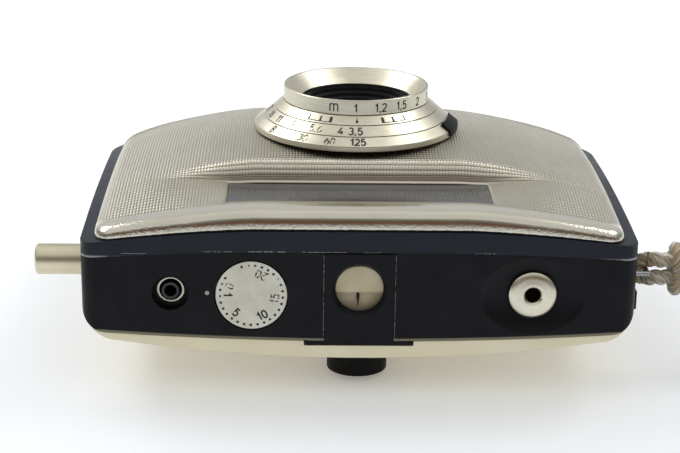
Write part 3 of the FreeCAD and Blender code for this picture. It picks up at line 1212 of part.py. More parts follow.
def back_parts():
    """What the back cover carries, and its catch."""
    keep("pressure_plate", box("pressure_block", ("-gate_half_width - 4", "lens_y - 18", "-film_plane - 1.5"),
                               ("gate_half_width + 4", "lens_y + 18", "-film_plane - 0.6")))
    leaves = []
    for number, y in enumerate((-9, 9), start=1):
        leaf = doc.addObject("Part::Feature", f"leaf_{number}")
        low = -size("back_depth") + size("back_wall") + 0.25
        high = -size("film_plane") - 1.55
        path = [Vector(-10, 0, low), Vector(0, 0, high - 0.25), Vector(10, 0, low)]
        outer = Part.Arc(*path).toShape()
        lifted = outer.copy()
        lifted.translate(Vector(0, 0, 0.2))
        wire = Part.Wire([outer, Part.makeLine(path[2], path[2] + Vector(0, 0, 0.2)), lifted,
                          Part.makeLine(path[0] + Vector(0, 0, 0.2), path[0])])
        leaf.Shape = Part.Face(wire).extrude(Vector(0, 4, 0))
        leaf.Placement = Placement(Vector(0, size("lens_y") + y - 2, 0), Rotation())
        leaves.append(leaf)
    keep("pressure_springs", fuse("pressure_springs", *leaves))
    keep("back_catch", box("catch_block", ("body_half_width - shell_wall - 1.2", "-catch_y - catch_half_width",
                                           "-catch_z - catch_half_height"),
                           ("body_half_width + catch_reach", "-catch_y + catch_half_width",
                            "-catch_z + catch_half_height")))
    revolved("tripod_bush", [("0", "chassis_far"), ("tripod_radius", "chassis_far"),
                             ("tripod_radius", "body_half_height"), ("tripod_bore", "body_half_height"),
                             ("tripod_bore", "body_half_height - tripod_depth"),
                             ("0", "body_half_height - tripod_depth")], turn=TURN_DOWN)


def strap_lug():
    """The wire lug: a bar on two legs with their collars."""
    x, half = "body_half_width", "lug_half_span"
    bar_x = f"{x} + lug_reach"
    pieces = [cylinder("lug_bar", "lug_wire", f"2 * {half}", (bar_x, f"-lug_y - {half}", "lug_z"), TURN_DOWN)]
    for row, sign in (("near", "-"), ("far", "+")):
        y = f"-lug_y {sign} {half}"
        pieces.append(cylinder(f"lug_leg_{row}", "lug_wire", "lug_reach", (x, y, "lug_z"), TURN_X))
        pieces.append(cylinder(f"lug_collar_{row}", "2 * lug_wire", "0.8", (x, y, "lug_z"), TURN_X))
        ball = doc.addObject("Part::Sphere", f"lug_bend_{row}")
        bind(ball, Radius="lug_wire", place_x=bar_x, place_y=y, place_z="lug_z")
        pieces.append(ball)
    keep("strap_lug", fuse("strap_lug", *pieces))


# The wrist strap's route, from the top of the lug's bar round the loop and back under the bar.
STRAP_ROUTE = [
    (57.76, -25.0, 3.79), (64.0, -25.0, 3.3), (73.0, -23.5, 2.9), (87.0, -13.0, -5.0), (104.0, 3.0, -13.2),
    (124.0, 14.5, -14.1), (143.0, 13.0, -14.2), (151.0, -2.0, -15.8), (143.5, -16.5, -17.3),
    (125.0, -18.5, -17.4), (105.0, -17.0, -16.6), (88.0, -21.0, -12.0), (74.0, -25.5, -2.2),
    (64.5, -25.0, 0.34), (57.76, -25.0, -0.19),
]


def rounded_path(points):
    """Straight runs joined by tangent arcs; also returns the arcs' radii."""
    places = [Vector(*point) for point in points]
    edges, radii = [], []
    start = places[0]
    for before, here, after in zip(places, places[1:], places[2:]):
        along, onward = here - before, after - here
        turn = along.getAngle(onward)
        reach = 0.45 * min(along.Length, onward.Length)
        radius = reach / math.tan(turn / 2)
        enter = here - along.normalize() * reach
        leave = here + onward.normalize() * reach
        middle = (enter + leave) * 0.5 - here
        inward = middle.normalize() * (radius / math.cos(turn / 2) - radius)
        edges.append(Part.LineSegment(start, enter).toShape())
        edges.append(Part.Arc(enter, here + inward, leave).toShape())
        radii.append(round(radius, 1))
        start = leave
    edges.append(Part.LineSegment(start, places[-1]).toShape())
    return Part.Wire(edges), radii


def swept_cord(name, path, start, direction, radius):
    """A round cord swept along a path."""
    section = Part.Wire([Part.makeCircle(radius, start, direction)])
    solid = path.makePipeShell([section], True, False)
    thing = doc.addObject("Part::Feature", name)
    thing.Shape = solid
    keep(name, thing)
    expected = math.pi * radius ** 2 * path.Length
    print(name, "length", round(path.Length, 1), "volume share", round(solid.Volume / expected, 4))
    return thing


def strap():
    """The wrist strap: the cord, its bight round the lug's bar and the hitch that holds it."""
    path, radii = rounded_path(STRAP_ROUTE)
    print("strap radii", radii)
    radius = size("cord_radius")
    first, second = Vector(*STRAP_ROUTE[0]), Vector(*STRAP_ROUTE[1])
    swept_cord("strap_cord", path, first, second - first, radius)
    last = Vector(*STRAP_ROUTE[-1])
    centre = (first + last) * 0.5
    bar = Vector(size("body_half_width") + size("lug_reach"), centre.y, centre.z)
    bight = Part.Arc(first, bar - Vector(radius + size("lug_wire") + 0.05, 0, 0), last)
    swept_cord("strap_bight", Part.Wire([bight.toShape()]), first, second - first, radius)
    hitch()


def hitch():
    """The oval wrap that holds the two strands together."""
    radius = size("cord_radius")
    wrap = size("hitch_radius")
    x, y, z = HITCH_PLACE
    half_round = radius + wrap + 0.15
    rise = HITCH_RISE
    top, low = z + rise, z - rise
    path = Part.Wire([
        Part.LineSegment(Vector(x, y - half_round, low), Vector(x, y - half_round, top)).toShape(),
        Part.Arc(Vector(x, y - half_round, top), Vector(x, y, top + half_round),
                 Vector(x, y + half_round, top)).toShape(),
        Part.LineSegment(Vector(x, y + half_round, top), Vector(x, y + half_round, low)).toShape(),
        Part.Arc(Vector(x, y + half_round, low), Vector(x, y, low - half_round),
                 Vector(x, y - half_round, low)).toShape(),
    ])
    swept_cord("strap_hitch", path, Vector(x, y - half_round, low), Vector(0, 0, 1), wrap)


BUILDERS = [front_panel, front_frame, body_shell, back_cover, window_parts, meter_parts, flash_parts,
            counter_parts, release_parts, plunger_parts, film_transport, chassis_parts, lens_parts,
            shutter_parts, speed_tab, back_parts, strap_lug, strap]


def check_and_write():
    """Recomputes, checks every object and writes each sub-part's solid."""
    doc.recompute()
    for thing in doc.Objects:
        if "Invalid" in thing.State or "Error" in thing.State:
            raise RuntimeError(f"{thing.Name} failed: {thing.State}")
    os.makedirs("parts", exist_ok=True)
    for name, thing in nodes.items():
        if thing.Shape.isNull() or not thing.Shape.isValid():
            raise RuntimeError(f"{name} has no valid shape")
        shape = thing.Shape.copy()
        shape.translate(Vector(0, -size("body_half_height"), 0))
        shape.exportStep(f"parts/{name}.step")


for build in BUILDERS:
    build()
check_and_write()
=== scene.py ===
import json
from math import atan2, ceil, cos, dist, hypot, pi, radians, sin, sqrt, tau
import bpy
from mathutils import Matrix, Vector


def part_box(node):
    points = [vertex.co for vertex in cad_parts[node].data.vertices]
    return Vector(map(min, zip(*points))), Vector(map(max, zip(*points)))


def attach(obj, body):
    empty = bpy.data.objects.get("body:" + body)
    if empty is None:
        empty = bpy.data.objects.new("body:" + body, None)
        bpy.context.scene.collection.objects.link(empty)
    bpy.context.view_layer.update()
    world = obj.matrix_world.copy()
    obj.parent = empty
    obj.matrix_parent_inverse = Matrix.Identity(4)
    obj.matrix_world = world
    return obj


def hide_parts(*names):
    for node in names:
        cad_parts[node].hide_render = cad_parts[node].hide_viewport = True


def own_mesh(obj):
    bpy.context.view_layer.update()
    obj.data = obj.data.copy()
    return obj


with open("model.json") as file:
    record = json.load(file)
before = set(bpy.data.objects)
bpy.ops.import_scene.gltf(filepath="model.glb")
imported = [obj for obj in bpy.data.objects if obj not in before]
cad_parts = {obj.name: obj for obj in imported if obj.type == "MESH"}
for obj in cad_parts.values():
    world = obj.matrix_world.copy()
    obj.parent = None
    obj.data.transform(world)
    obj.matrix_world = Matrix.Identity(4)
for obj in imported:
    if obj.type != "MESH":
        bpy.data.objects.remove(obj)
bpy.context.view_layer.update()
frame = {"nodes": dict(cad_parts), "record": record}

# Lengths are millimetres of the modelling axes unless a name says otherwise: +Z is where the lens looks,
# -Y the top plate, +X the side with the strap. The modelling axes put the middle of the body at y 0;
# the frame's origin is the mouth of the tripod socket, in the base.
MM = 0.001
SOCKET_DEPTH = 37.0
LENS_Y = 7.5
NODES = frame["nodes"]


def at(x, y, z):
    """A point in modelling millimetres, in the frame's metres."""
    return Vector((x, y - SOCKET_DEPTH, z)) * MM


def srgb(red, green, blue):
    """A colour read from 0 to 255, as the linear colour a shader takes."""
    def linear(value):
        share = value / 255
        return share / 12.92 if share <= 0.04045 else ((share + 0.055) / 1.055) ** 2.4
    return (linear(red), linear(green), linear(blue), 1.0)


def put(name, data):
    """A new object in the scene."""
    made = bpy.data.objects.new(name, data)
    bpy.context.scene.collection.objects.link(made)
    return made


def mesh_piece(name, points, faces, material, body, smooth=True, origin=Vector((0, 0, 0))):
    """A mesh object of its own that rides on a body."""
    mesh = bpy.data.meshes.new(name)
    mesh.from_pydata([tuple(p - origin) for p in points], [], faces)
    mesh.materials.append(material)
    for face in mesh.polygons:
        face.use_smooth = smooth
    mesh.validate()
    piece = put(name, mesh)
    piece.location = origin
    bpy.context.view_layer.update()
    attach(piece, body)
    return piece


# ---------------- shader nodes

class Nodes:
    """A node tree whose nodes are made, set and wired in one call each."""

    def __init__(self, tree):
        self.tree = tree

    def node(self, kind, inputs=None, **properties):
        made = self.tree.nodes.new(kind)
        for key, value in properties.items():
            setattr(made, key, value)
        for key, value in (inputs or {}).items():
            if isinstance(value, bpy.types.NodeSocket):
                self.tree.links.new(value, made.inputs[key])
            else:
                made.inputs[key].default_value = value
        return made

    def math(self, operation, first, second=0.0):
        return self.node("ShaderNodeMath", {0: first, 1: second}, operation=operation).outputs[0]

    def times(self, first, second):
        return self.math("MULTIPLY", first, second)

    def span(self, value, low, high, out_low=0.0, out_high=1.0, smooth=False):
        made = self.node("ShaderNodeMapRange", {
            "Value": value, "From Min": low, "From Max": high, "To Min": out_low, "To Max": out_high,
        }, interpolation_type="SMOOTHSTEP" if smooth else "LINEAR")
        return made.outputs[0]

    def ramp(self, value, stops):
        made = self.node("ShaderNodeValToRGB", {"Fac": value})
        elements = made.color_ramp.elements
        for place, colour in stops[1:-1]:
            elements.new(place).color = colour
        elements[0].position, elements[0].color = stops[0]
        elements[-1].position, elements[-1].color = stops[-1]
        return made.outputs["Color"]

    def mix(self, share, first, second, blend="MIX"):
        made = self.node("ShaderNodeMix", {0: share, 6: first, 7: second}, data_type="RGBA", blend_type=blend)
        return made.outputs[2]

    def coordinates(self):
        return self.node("ShaderNodeTexCoord").outputs["Object"]

    def split(self):
        """Object coordinates as x, y and z."""
        return self.node("ShaderNodeSeparateXYZ", {0: self.coordinates()}).outputs

    def stretched(self, vector, stretch):
        return self.node("ShaderNodeMapping", {"Vector": vector, "Scale": stretch}).outputs["Vector"]

    def noise(self, scale, detail=3.0, stretch=(1, 1, 1)):
        return self.node("ShaderNodeTexNoise", {
            "Vector": self.stretched(self.coordinates(), stretch), "Scale": scale, "Detail": detail,
            "Roughness": 0.55,
        }).outputs["Fac"]

    def blend(self, source, dark, light):
        """Two tones, mixed by a noise."""
        return self.ramp(source, [(0.3, dark), (0.7, light)])

    def bump(self, height, distance, strength=1.0, under=None):
        inputs = {"Height": height, "Distance": distance, "Strength": strength}
        if under is not None:
            inputs["Normal"] = under
        return self.node("ShaderNodeBump", inputs).outputs["Normal"]


class Finish(Nodes):
    """A procedural material round one Principled shader; settings name its sockets."""

    def __init__(self, name, **settings):
        self.material = bpy.data.materials.new(name)
        self.material.use_nodes = True
        super().__init__(self.material.node_tree)
        self.shader = self.tree.nodes["Principled BSDF"]
        for socket, value in settings.items():
            self.shader.inputs[socket.replace("_", " ")].default_value = value

    def wire(self, source, socket):
        self.tree.links.new(source, self.shader.inputs[socket])


def surface(name, scale, roughness, grain=3000.0, grain_depth=0.00001, **settings):
    """A finish whose sheen and grain vary a little from place to place."""
    made = Finish(name, **settings)
    made.wire(made.span(made.noise(scale * 2.3), 0.3, 0.7, *roughness), "Roughness")
    made.wire(made.bump(made.noise(grain, 2.0), grain_depth), "Normal")
    return made


def mottled(name, dark, light, scale, *rest, **settings):
    """Such a finish with a colour that varies too."""
    made = surface(name, scale, *rest, **settings)
    made.wire(made.blend(made.noise(scale, 4.0), dark, light), "Base Color")
    return made


# ---------------- camera, floor, light

CAMERA_PLACE = (-0.01093, -0.40074, 0.12138)
CAMERA_PITCH, CAMERA_YAW, CAMERA_ROLL = 0.3171, -0.0213, -0.0134
CAMERA_LENS, SENSOR_WIDTH = 95.26, 36.0
CLIP_NEAR, CLIP_FAR = 0.01, 20.0


def add_camera():
    """The camera at the photograph's viewing angle."""
    data = bpy.data.cameras.new("camera")
    data.lens, data.sensor_width = CAMERA_LENS, SENSOR_WIDTH
    data.clip_start, data.clip_end = CLIP_NEAR, CLIP_FAR
    camera = put("camera", data)
    turned = Matrix.Translation(CAMERA_PLACE)
    for angle, axis in ((CAMERA_YAW, "Z"), (pi / 2 - CAMERA_PITCH, "X"), (-CAMERA_ROLL, "Z")):
        turned = turned @ Matrix.Rotation(angle, 4, axis)
    camera.matrix_world = turned
    bpy.context.scene.camera = camera
    bpy.context.scene.view_settings.view_transform = "Standard"


# The floor lies under the eyepiece and the base: its height at y FLOOR_START, its slope and its reach.
FLOOR_LEVEL, FLOOR_SLOPE, FLOOR_START = -19.35, 0.1107, -56.15
FLOOR_REACH, FLOOR_CELLS = 4000.0, 8
FLOOR_GLOW, FLOOR_DIM = 0.37, 0.06
# These tints darken the paper towards the camera: painted shading across the floor.
FLOOR_SHADING_TINTS = [(0.0, (0.80, 0.83, 0.87, 1)), (0.5, (0.93, 0.96, 0.985, 1)), (1.0, (0.985, 0.99, 1.0, 1))]
# Within SHADE_REACH of the object the glow turns to SHADE_TINT: a painted contact shadow.
SHADE_REACH, SHADE_TINT = 0.035, (0.78, 0.72, 0.63, 1)


def add_floor():
    """A plain white sheet, painted darker towards the camera as painted shading, whose glow is seen but lights
    nothing and fades next to the object as a painted contact shadow.
    """
    made = Finish("floor_paper", Roughness=0.6)
    tint = made.ramp(made.span(made.split()["Y"], -0.16, 0.25), FLOOR_SHADING_TINTS)
    cloud = made.blend(made.noise(9.0), (0.8, 0.82, 0.85, 1), (1, 1, 1, 1))
    made.wire(made.mix(0.04, tint, cloud), "Base Color")
    path = made.node("ShaderNodeLightPath").outputs
    seen = made.math("MAXIMUM", path["Is Camera Ray"], path["Is Glossy Ray"])
    seen = made.math("MAXIMUM", seen, path["Is Transmission Ray"])
    openness = made.node("ShaderNodeAmbientOcclusion", {"Distance": SHADE_REACH}, samples=12).outputs["AO"]
    glow = made.node("ShaderNodeEmission", {
        "Color": made.mix(openness, SHADE_TINT, tint), "Strength": made.times(seen, FLOOR_GLOW)})
    added = made.node("ShaderNodeAddShader", {0: made.shader.outputs[0], 1: glow.outputs[0]})
    dim = made.node("ShaderNodeBsdfDiffuse", {"Color": (0, 0, 0, 1)})
    mixed = made.node("ShaderNodeMixShader", {0: FLOOR_DIM, 1: added.outputs[0], 2: dim.outputs[0]})
    made.tree.links.new(mixed.outputs[0], made.tree.nodes["Material Output"].inputs["Surface"])
    lines = [FLOOR_REACH * (2 * step / FLOOR_CELLS - 1) for step in range(FLOOR_CELLS + 1)]
    points = [(x, y, FLOOR_LEVEL + FLOOR_SLOPE * (y - FLOOR_START)) for y in lines for x in lines]
    across = len(lines)
    firsts = [row * across + column for row in range(FLOOR_CELLS) for column in range(FLOOR_CELLS)]
    mesh = bpy.data.meshes.new("floor")
    mesh.from_pydata([(x * MM, y * MM, z * MM) for x, y, z in points], [],
                     [(first, first + 1, first + across + 1, first + across) for first in firsts])
    mesh.materials.append(made.material)
    floor = put("floor", mesh)


# The room's light by direction, from 0 at the horizon behind the object over 0.5 overhead to 1 in front.
ROOM = ((0.0, (0.62, 0.64, 0.67)), (0.10, (0.74, 0.76, 0.79)), (0.33, (0.80, 0.81, 0.82)),
        (0.42, (1.08, 1.08, 1.06)), (0.76, (1.05, 1.05, 1.03)), (0.81, (0.34, 0.34, 0.32)),
        (0.87, (0.28, 0.27, 0.25)), (0.90, (0.21, 0.115, 0.075)), (1.0, (0.25, 0.135, 0.085)))
ROOM_SIDES = (0.62, 0.9, 1.0, 0.45)
ROOM_STRENGTH = 0.74
ROOM_SEEN = (0.985, 0.99, 1.0, 1)


def add_world():
    """A pale room: bright overhead, darker towards the side that the camera looks from; plain where seen."""
    world = bpy.data.worlds.new("room")
    bpy.context.scene.world = world
    world.use_nodes = True
    made = Nodes(world.node_tree)
    direction = made.node("ShaderNodeTexCoord").outputs["Generated"]
    axes = made.node("ShaderNodeSeparateXYZ", {0: direction}).outputs
    share = made.math("DIVIDE", made.math("ARCTAN2", axes["Z"], axes["Y"]), pi)
    light = made.ramp(share, [(place, (*colour, 1)) for place, colour in ROOM])
    dim = made.span(made.math("ABSOLUTE", axes["X"]), *ROOM_SIDES, smooth=True)
    toned = made.node("ShaderNodeVectorMath", {0: light, "Scale": dim}, operation="SCALE")
    background = made.tree.nodes["Background"]
    background.inputs["Strength"].default_value = ROOM_STRENGTH
    made.tree.links.new(toned.outputs[0], background.inputs["Color"])
    plain = made.node("ShaderNodeBackground", {"Color": ROOM_SEEN})
    seen = made.node("ShaderNodeLightPath").outputs["Is Camera Ray"]
    either = made.node("ShaderNodeMixShader", {0: seen, 1: background.outputs[0], 2: plain.outputs[0]})
    made.tree.links.new(either.outputs[0], made.tree.nodes["World Output"].inputs["Surface"])


LAMP_AIM, LAMP_DISTANCE = Vector((0, -0.03, 0.01)), 0.9


def add_lamp(name, direction, size, power):
    data = bpy.data.lights.new(name, "AREA")
    data.shape, data.size, data.size_y = "RECTANGLE", size[0], size[1]
    data.energy = power
    lamp = put(name, data)
    lamp.location = LAMP_AIM + Vector(direction).normalized() * LAMP_DISTANCE
    lamp.rotation_euler = (LAMP_AIM - lamp.location).to_track_quat("-Z", "Y").to_euler()


# ---------------- wrist strap

# Control points of the strap's own smooth line, the same as the solid's.
STRAP_ROUTE = (
    (57.76, -25, 3.79), (64, -25, 3.3), (73, -23.5, 2.9), (87, -13, -5), (104, 3, -13.2),
    (124, 14.5, -14.1), (143, 13, -14.2), (151, -2, -15.8), (143.5, -16.5, -17.3), (125, -18.5, -17.4),
    (105, -17, -16.6), (88, -21, -12), (74, -25.5, -2.2), (64.5, -25, 0.34), (57.76, -25, -0.19),
)
CORD_RADIUS = 1.5
LUG_BAR = (57.76, -25.0, 1.8)
BIGHT_RADIUS, BIGHT_CORD_SHARE, BIGHT_STEPS = 1.99, 0.98, 24
HITCH_PLACE = (63.6, -24.95, 1.8)
HITCH_RISE, HITCH_HALF_ROUND, HITCH_CORD, HITCH_STEPS = 1.53, 2.8, 1.15, 48
# Three strands of an oval section lie round the cord's line.
STRANDS, STRAND_SIDES, STRAND_STEP, STRAND_WIDENING = 3, 10, 0.35, 1.1
STRAND_RADIUS_SHARE, STRAND_OFFSET_SHARE = 0.60, 0.49
CORD_TONES = [(0.15, srgb(190, 178, 148)), (0.4, srgb(226, 217, 194)), (0.7, srgb(246, 242, 230))]


def route_points():
    """Points along the strap's own smooth curve."""
    curve = bpy.data.curves.new("strap_route", "CURVE")
    curve.dimensions = "3D"
    curve.resolution_u = 24
    spline = curve.splines.new("NURBS")
    spline.points.add(len(STRAP_ROUTE) - 1)
    for point, place in zip(spline.points, STRAP_ROUTE):
        point.co = (*at(*place), 1.0)
    spline.order_u = 3
    spline.use_endpoint_u = True
    carrier = bpy.data.objects.new("strap_route", curve)
    line = bpy.data.meshes.new_from_object(carrier)
    points = [vertex.co.copy() for vertex in line.vertices]
    bpy.data.objects.remove(carrier)
    bpy.data.meshes.remove(line)
    return points


def even(points, step, closed):
    """The same line with points an even step apart, and its length."""
    line = points + points[:1] if closed else points
    marks = [0.0]
    for first, second in zip(line, line[1:]):
        marks.append(marks[-1] + (second - first).length)
    count = max(8, round(marks[-1] / step))
    spaced, run = [], 0
    for index in range(count if closed else count + 1):
        goal = marks[-1] * index / count
        while run < len(marks) - 2 and marks[run + 1] < goal:
            run += 1
        gap = marks[run + 1] - marks[run]
        share = (goal - marks[run]) / gap if gap else 0.0
        spaced.append(line[run].lerp(line[run + 1], share))
    return spaced, marks[-1]


def twisted(name, path, cord_radius, material, closed=False, turns_apart=6.5):
    """Three strands laid round a path, as a twisted cord."""
    line, length = even(path, STRAND_STEP * MM, closed)
    strand = cord_radius * MM * STRAND_RADIUS_SHARE
    offset = cord_radius * MM * STRAND_OFFSET_SHARE
    count = len(line)
    turns = max(1, round(length / (turns_apart * MM)))
    up = Vector((0.13, 0.37, 0.92))
    points, faces, uvs = [], [], []
    for index in range(count):
        ahead = line[(index + 1) % count] if closed else line[min(index + 1, count - 1)]
        behind = line[index - 1] if closed or index else line[0]
        along = (ahead - behind).normalized()
        side = up.cross(along).normalized()
        up = along.cross(side)
        share = index / count if closed else index / (count - 1)
        for lay in range(STRANDS):
            turn = tau * (turns * share + lay / STRANDS)
            out = side * cos(turn) + up * sin(turn)
            across = along.cross(out)
            for corner in range(STRAND_SIDES):
                angle = tau * corner / STRAND_SIDES
                wide = across * strand * sin(angle) * STRAND_WIDENING
                points.append(line[index] + out * (offset + strand * cos(angle)) + wide)
                uvs.append((corner / STRAND_SIDES + lay, length * share / MM))
    for index in range(count if closed else count - 1):
        for lay in range(STRANDS):
            here = (index * STRANDS + lay) * STRAND_SIDES
            there = ((index + 1) % count * STRANDS + lay) * STRAND_SIDES
            for corner in range(STRAND_SIDES):
                after = (corner + 1) % STRAND_SIDES
                faces.append((here + corner, here + after, there + after, there + corner))
    if not closed:
        for lay in range(STRANDS):
            last = ((count - 1) * STRANDS + lay) * STRAND_SIDES
            faces.append(tuple(lay * STRAND_SIDES + corner for corner in range(STRAND_SIDES)))
            faces.append(tuple(last + corner for corner in reversed(range(STRAND_SIDES))))
    piece = mesh_piece(name, points, faces, material, "camera_body")
    layer = piece.data.uv_layers.new(name="yarn")
    for loop in piece.data.loops:
        layer.data[loop.index].uv = uvs[loop.vertex_index]
    return piece


def cord_finish():
    """Aged cotton: pale beige plies, darker in their grooves and near the lug, with yellow stains that gather
    near the lug.
    """
    made = Finish("strap_cotton", Roughness=0.9, Sheen_Weight=0.25)
    uv = made.node("ShaderNodeUVMap", uv_map="yarn").outputs["UV"]
    plies = made.node("ShaderNodeTexWave", {
        "Vector": made.stretched(uv, (9.0, 1.1, 1.0)),
        "Scale": 0.33, "Distortion": 1.6, "Detail": 2.0, "Detail Scale": 1.5,
    }, bands_direction="DIAGONAL").outputs["Fac"]
    fibre = made.noise(4200.0)
    mixed = made.math("ADD", made.times(plies, 0.6), made.times(fibre, 0.4))
    base = made.ramp(mixed, CORD_TONES)
    x = made.split()["X"]
    blotched = made.math("ADD", x, made.times(made.noise(260.0), 0.006))
    # The cord is made darker close to the lug.
    near_lug = made.times(made.span(blotched, 0.0605, 0.0640, 1.0, 0.0, True), 0.5)
    darker_near_lug = made.mix(near_lug, base, srgb(104, 86, 60), "MULTIPLY")
    blots = made.span(made.noise(150.0, 2.0), 0.52, 0.66, 0.0, 1.0, True)
    gold = made.times(blots, made.span(x, 0.060, 0.072, 1.0, 0.25, True))
    made.wire(made.mix(made.times(gold, 0.6), darker_near_lug, srgb(180, 148, 84)), "Base Color")
    rough = made.bump(plies, 0.00016, 0.8)
    made.wire(made.bump(fibre, 0.00008, 0.7, rough), "Normal")
    return made.material


def add_strap():
    finish = cord_finish()
    path = route_points()
    cord = twisted("wrist_cord", path, CORD_RADIUS, finish)
    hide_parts("strap_cord")
    bight_path = []
    for index in range(BIGHT_STEPS + 1):
        angle = pi * (0.5 + index / BIGHT_STEPS)
        bight_path.append(at(LUG_BAR[0] + BIGHT_RADIUS * cos(angle), LUG_BAR[1],
                             LUG_BAR[2] + BIGHT_RADIUS * sin(angle)))
    bight = twisted("wrist_cord_bight", bight_path, CORD_RADIUS * BIGHT_CORD_SHARE, finish)
    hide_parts("strap_bight")
    hitch_path = []
    for index in range(HITCH_STEPS):
        angle = tau * index / HITCH_STEPS
        rise = HITCH_RISE if sin(angle) >= 0 else -HITCH_RISE
        hitch_path.append(at(HITCH_PLACE[0], HITCH_PLACE[1] + HITCH_HALF_ROUND * cos(angle),
                             HITCH_PLACE[2] + rise + HITCH_HALF_ROUND * sin(angle)))
    hitch = twisted("wrist_cord_hitch", hitch_path, HITCH_CORD, finish, closed=True, turns_apart=5.0)
    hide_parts("strap_hitch")
    tuple(path[0])
    [tuple(p) for p in path]


# ---------------- pressed front panel

PANEL_HALF_WIDTH, PANEL_HALF_HEIGHT = 51.3, 36.7
CORNER_NEAR, CORNER_FAR = 3.4, 10.5
FALL_START, FALL_RUN, FALL_POWER = 20.0, 31.3, 1.5
RIM_HEIGHT, RIM_FALL, RIM_DOME, RIM_DOME_REACH = 13.0, 2.4, 1.5, 37.0
CHANNEL_HEIGHT, CHANNEL_FALL = 17.1, 4.2
CHANNEL_NEAR, CHANNEL_FAR, STEP_END = -31.4, -17.0, -14.6
CROWN_HEIGHT, CROWN_FALL, CROWN_DOME, CROWN_OVER_CHANNEL = 21.95, 7.0, 2.5, 0.15
END_HEIGHT, END_ROUND, END_REACH = 0.25, 2.4, 48.9
ROLL_BULGE, STEP_BULGE, STEP_ROLL_SHARE = 0.22, 0.09, 0.12
BASE_ROLL_START, BASE_ROLL_DROP = 0.84, 0.3
LIP_POWER, LIP_ROWS_BEFORE = 3.1, 0.9
WINDOW_HALF_WIDTH, WINDOW_NEAR, WINDOW_FAR = 26.0, -30.4, -17.4
LENS_HOLE, HOLE_REACH, HOLE_FIT = 16.3, 2.5, 0.4
MERGE_START, MERGE_END, MERGE_FAR, MERGE_POWER = 23.0, 43.0, -6.0, 0.95
SHEET_THICKNESS = 0.6
# Points along each stretch of a cross-section, from the lip to the base.
LIP_COUNT, CHANNEL_COUNT, STEP_COUNT, CROWN_COUNT, ROLL_COUNT = 26, 12, 22, 62, 18
# Cross-sections from the middle to the end: where each stretch ends, and how many it has.
STATION_ENDS, STATION_COUNTS = (26.0, 47.0, 51.28), (36, 26, 16)
# The knurl: its pitch, its rows on the step, and where it fades at the ends, beside the window and at the base.
KNURL_PITCH, ROW_PITCH, STEP_ROWS = 0.63, 1.16, 4.0
KNURL_END, KNURL_END_FADE = 50.2, 0.8
BESIDE_START, BESIDE_FADE, CHANNEL_KNURL = 27.0, 7.0, 0.3
CHANNEL_KNURL_START, BASE_MARGIN = 26.6, 2.0
# The lip's top is painted paler, as painted light, past the first of these shares of its points, fully so after
# the second more.
LIP_LIGHT_START, LIP_LIGHT_FADE = 0.45, 0.35


def clamp(value):
    return min(1.0, max(0.0, value))


def fall(x, depth):
    return depth * (max(0.0, abs(x) - FALL_START) / FALL_RUN) ** FALL_POWER


def reach_at(x, corner):
    beyond = max(0.0, abs(x) - (PANEL_HALF_WIDTH - corner))
    return PANEL_HALF_HEIGHT - corner + sqrt(max(corner ** 2 - beyond ** 2, 0.0))


def share_at(x):
    beyond = max(0.0, abs(x) - END_REACH)
    return END_HEIGHT + (1 - END_HEIGHT) * sqrt(max(1 - (beyond / END_ROUND) ** 2, 0.0))


def dome_at(y):
    return RIM_DOME * (1 - (y / RIM_DOME_REACH) ** 2)


def drop_at(y):
    return CROWN_DOME * (y / PANEL_HALF_HEIGHT) ** 2


def between(low, high, bulge):
    return (low[0] + (0.5 - bulge) * (high[0] - low[0]), low[1] + (0.5 + bulge) * (high[1] - low[1]))


def arc(first, middle, last, count):
    """Points on the circle through three points, the last one left out."""
    (ax, ay), (bx, by), (cx, cy) = first, middle, last
    twice = 2 * (ax * (by - cy) + bx * (cy - ay) + cx * (ay - by))
    if abs(twice) < 1e-9:
        return [(ax + (cx - ax) * k / count, ay + (cy - ay) * k / count) for k in range(count)]
    a, b, c = ax * ax + ay * ay, bx * bx + by * by, cx * cx + cy * cy
    ux = (a * (by - cy) + b * (cy - ay) + c * (ay - by)) / twice
    uy = (a * (cx - bx) + b * (ax - cx) + c * (bx - ax)) / twice
    radius = hypot(ax - ux, ay - uy)
    start, mid, end = (atan2(py - uy, px - ux) for px, py in (first, middle, last))
    sweep = (end - start) % tau
    if (mid - start) % tau > sweep:
        sweep -= tau
    turns = [start + sweep * k / count for k in range(count)]
    return [(ux + radius * cos(turn), uy + radius * sin(turn)) for turn in turns]


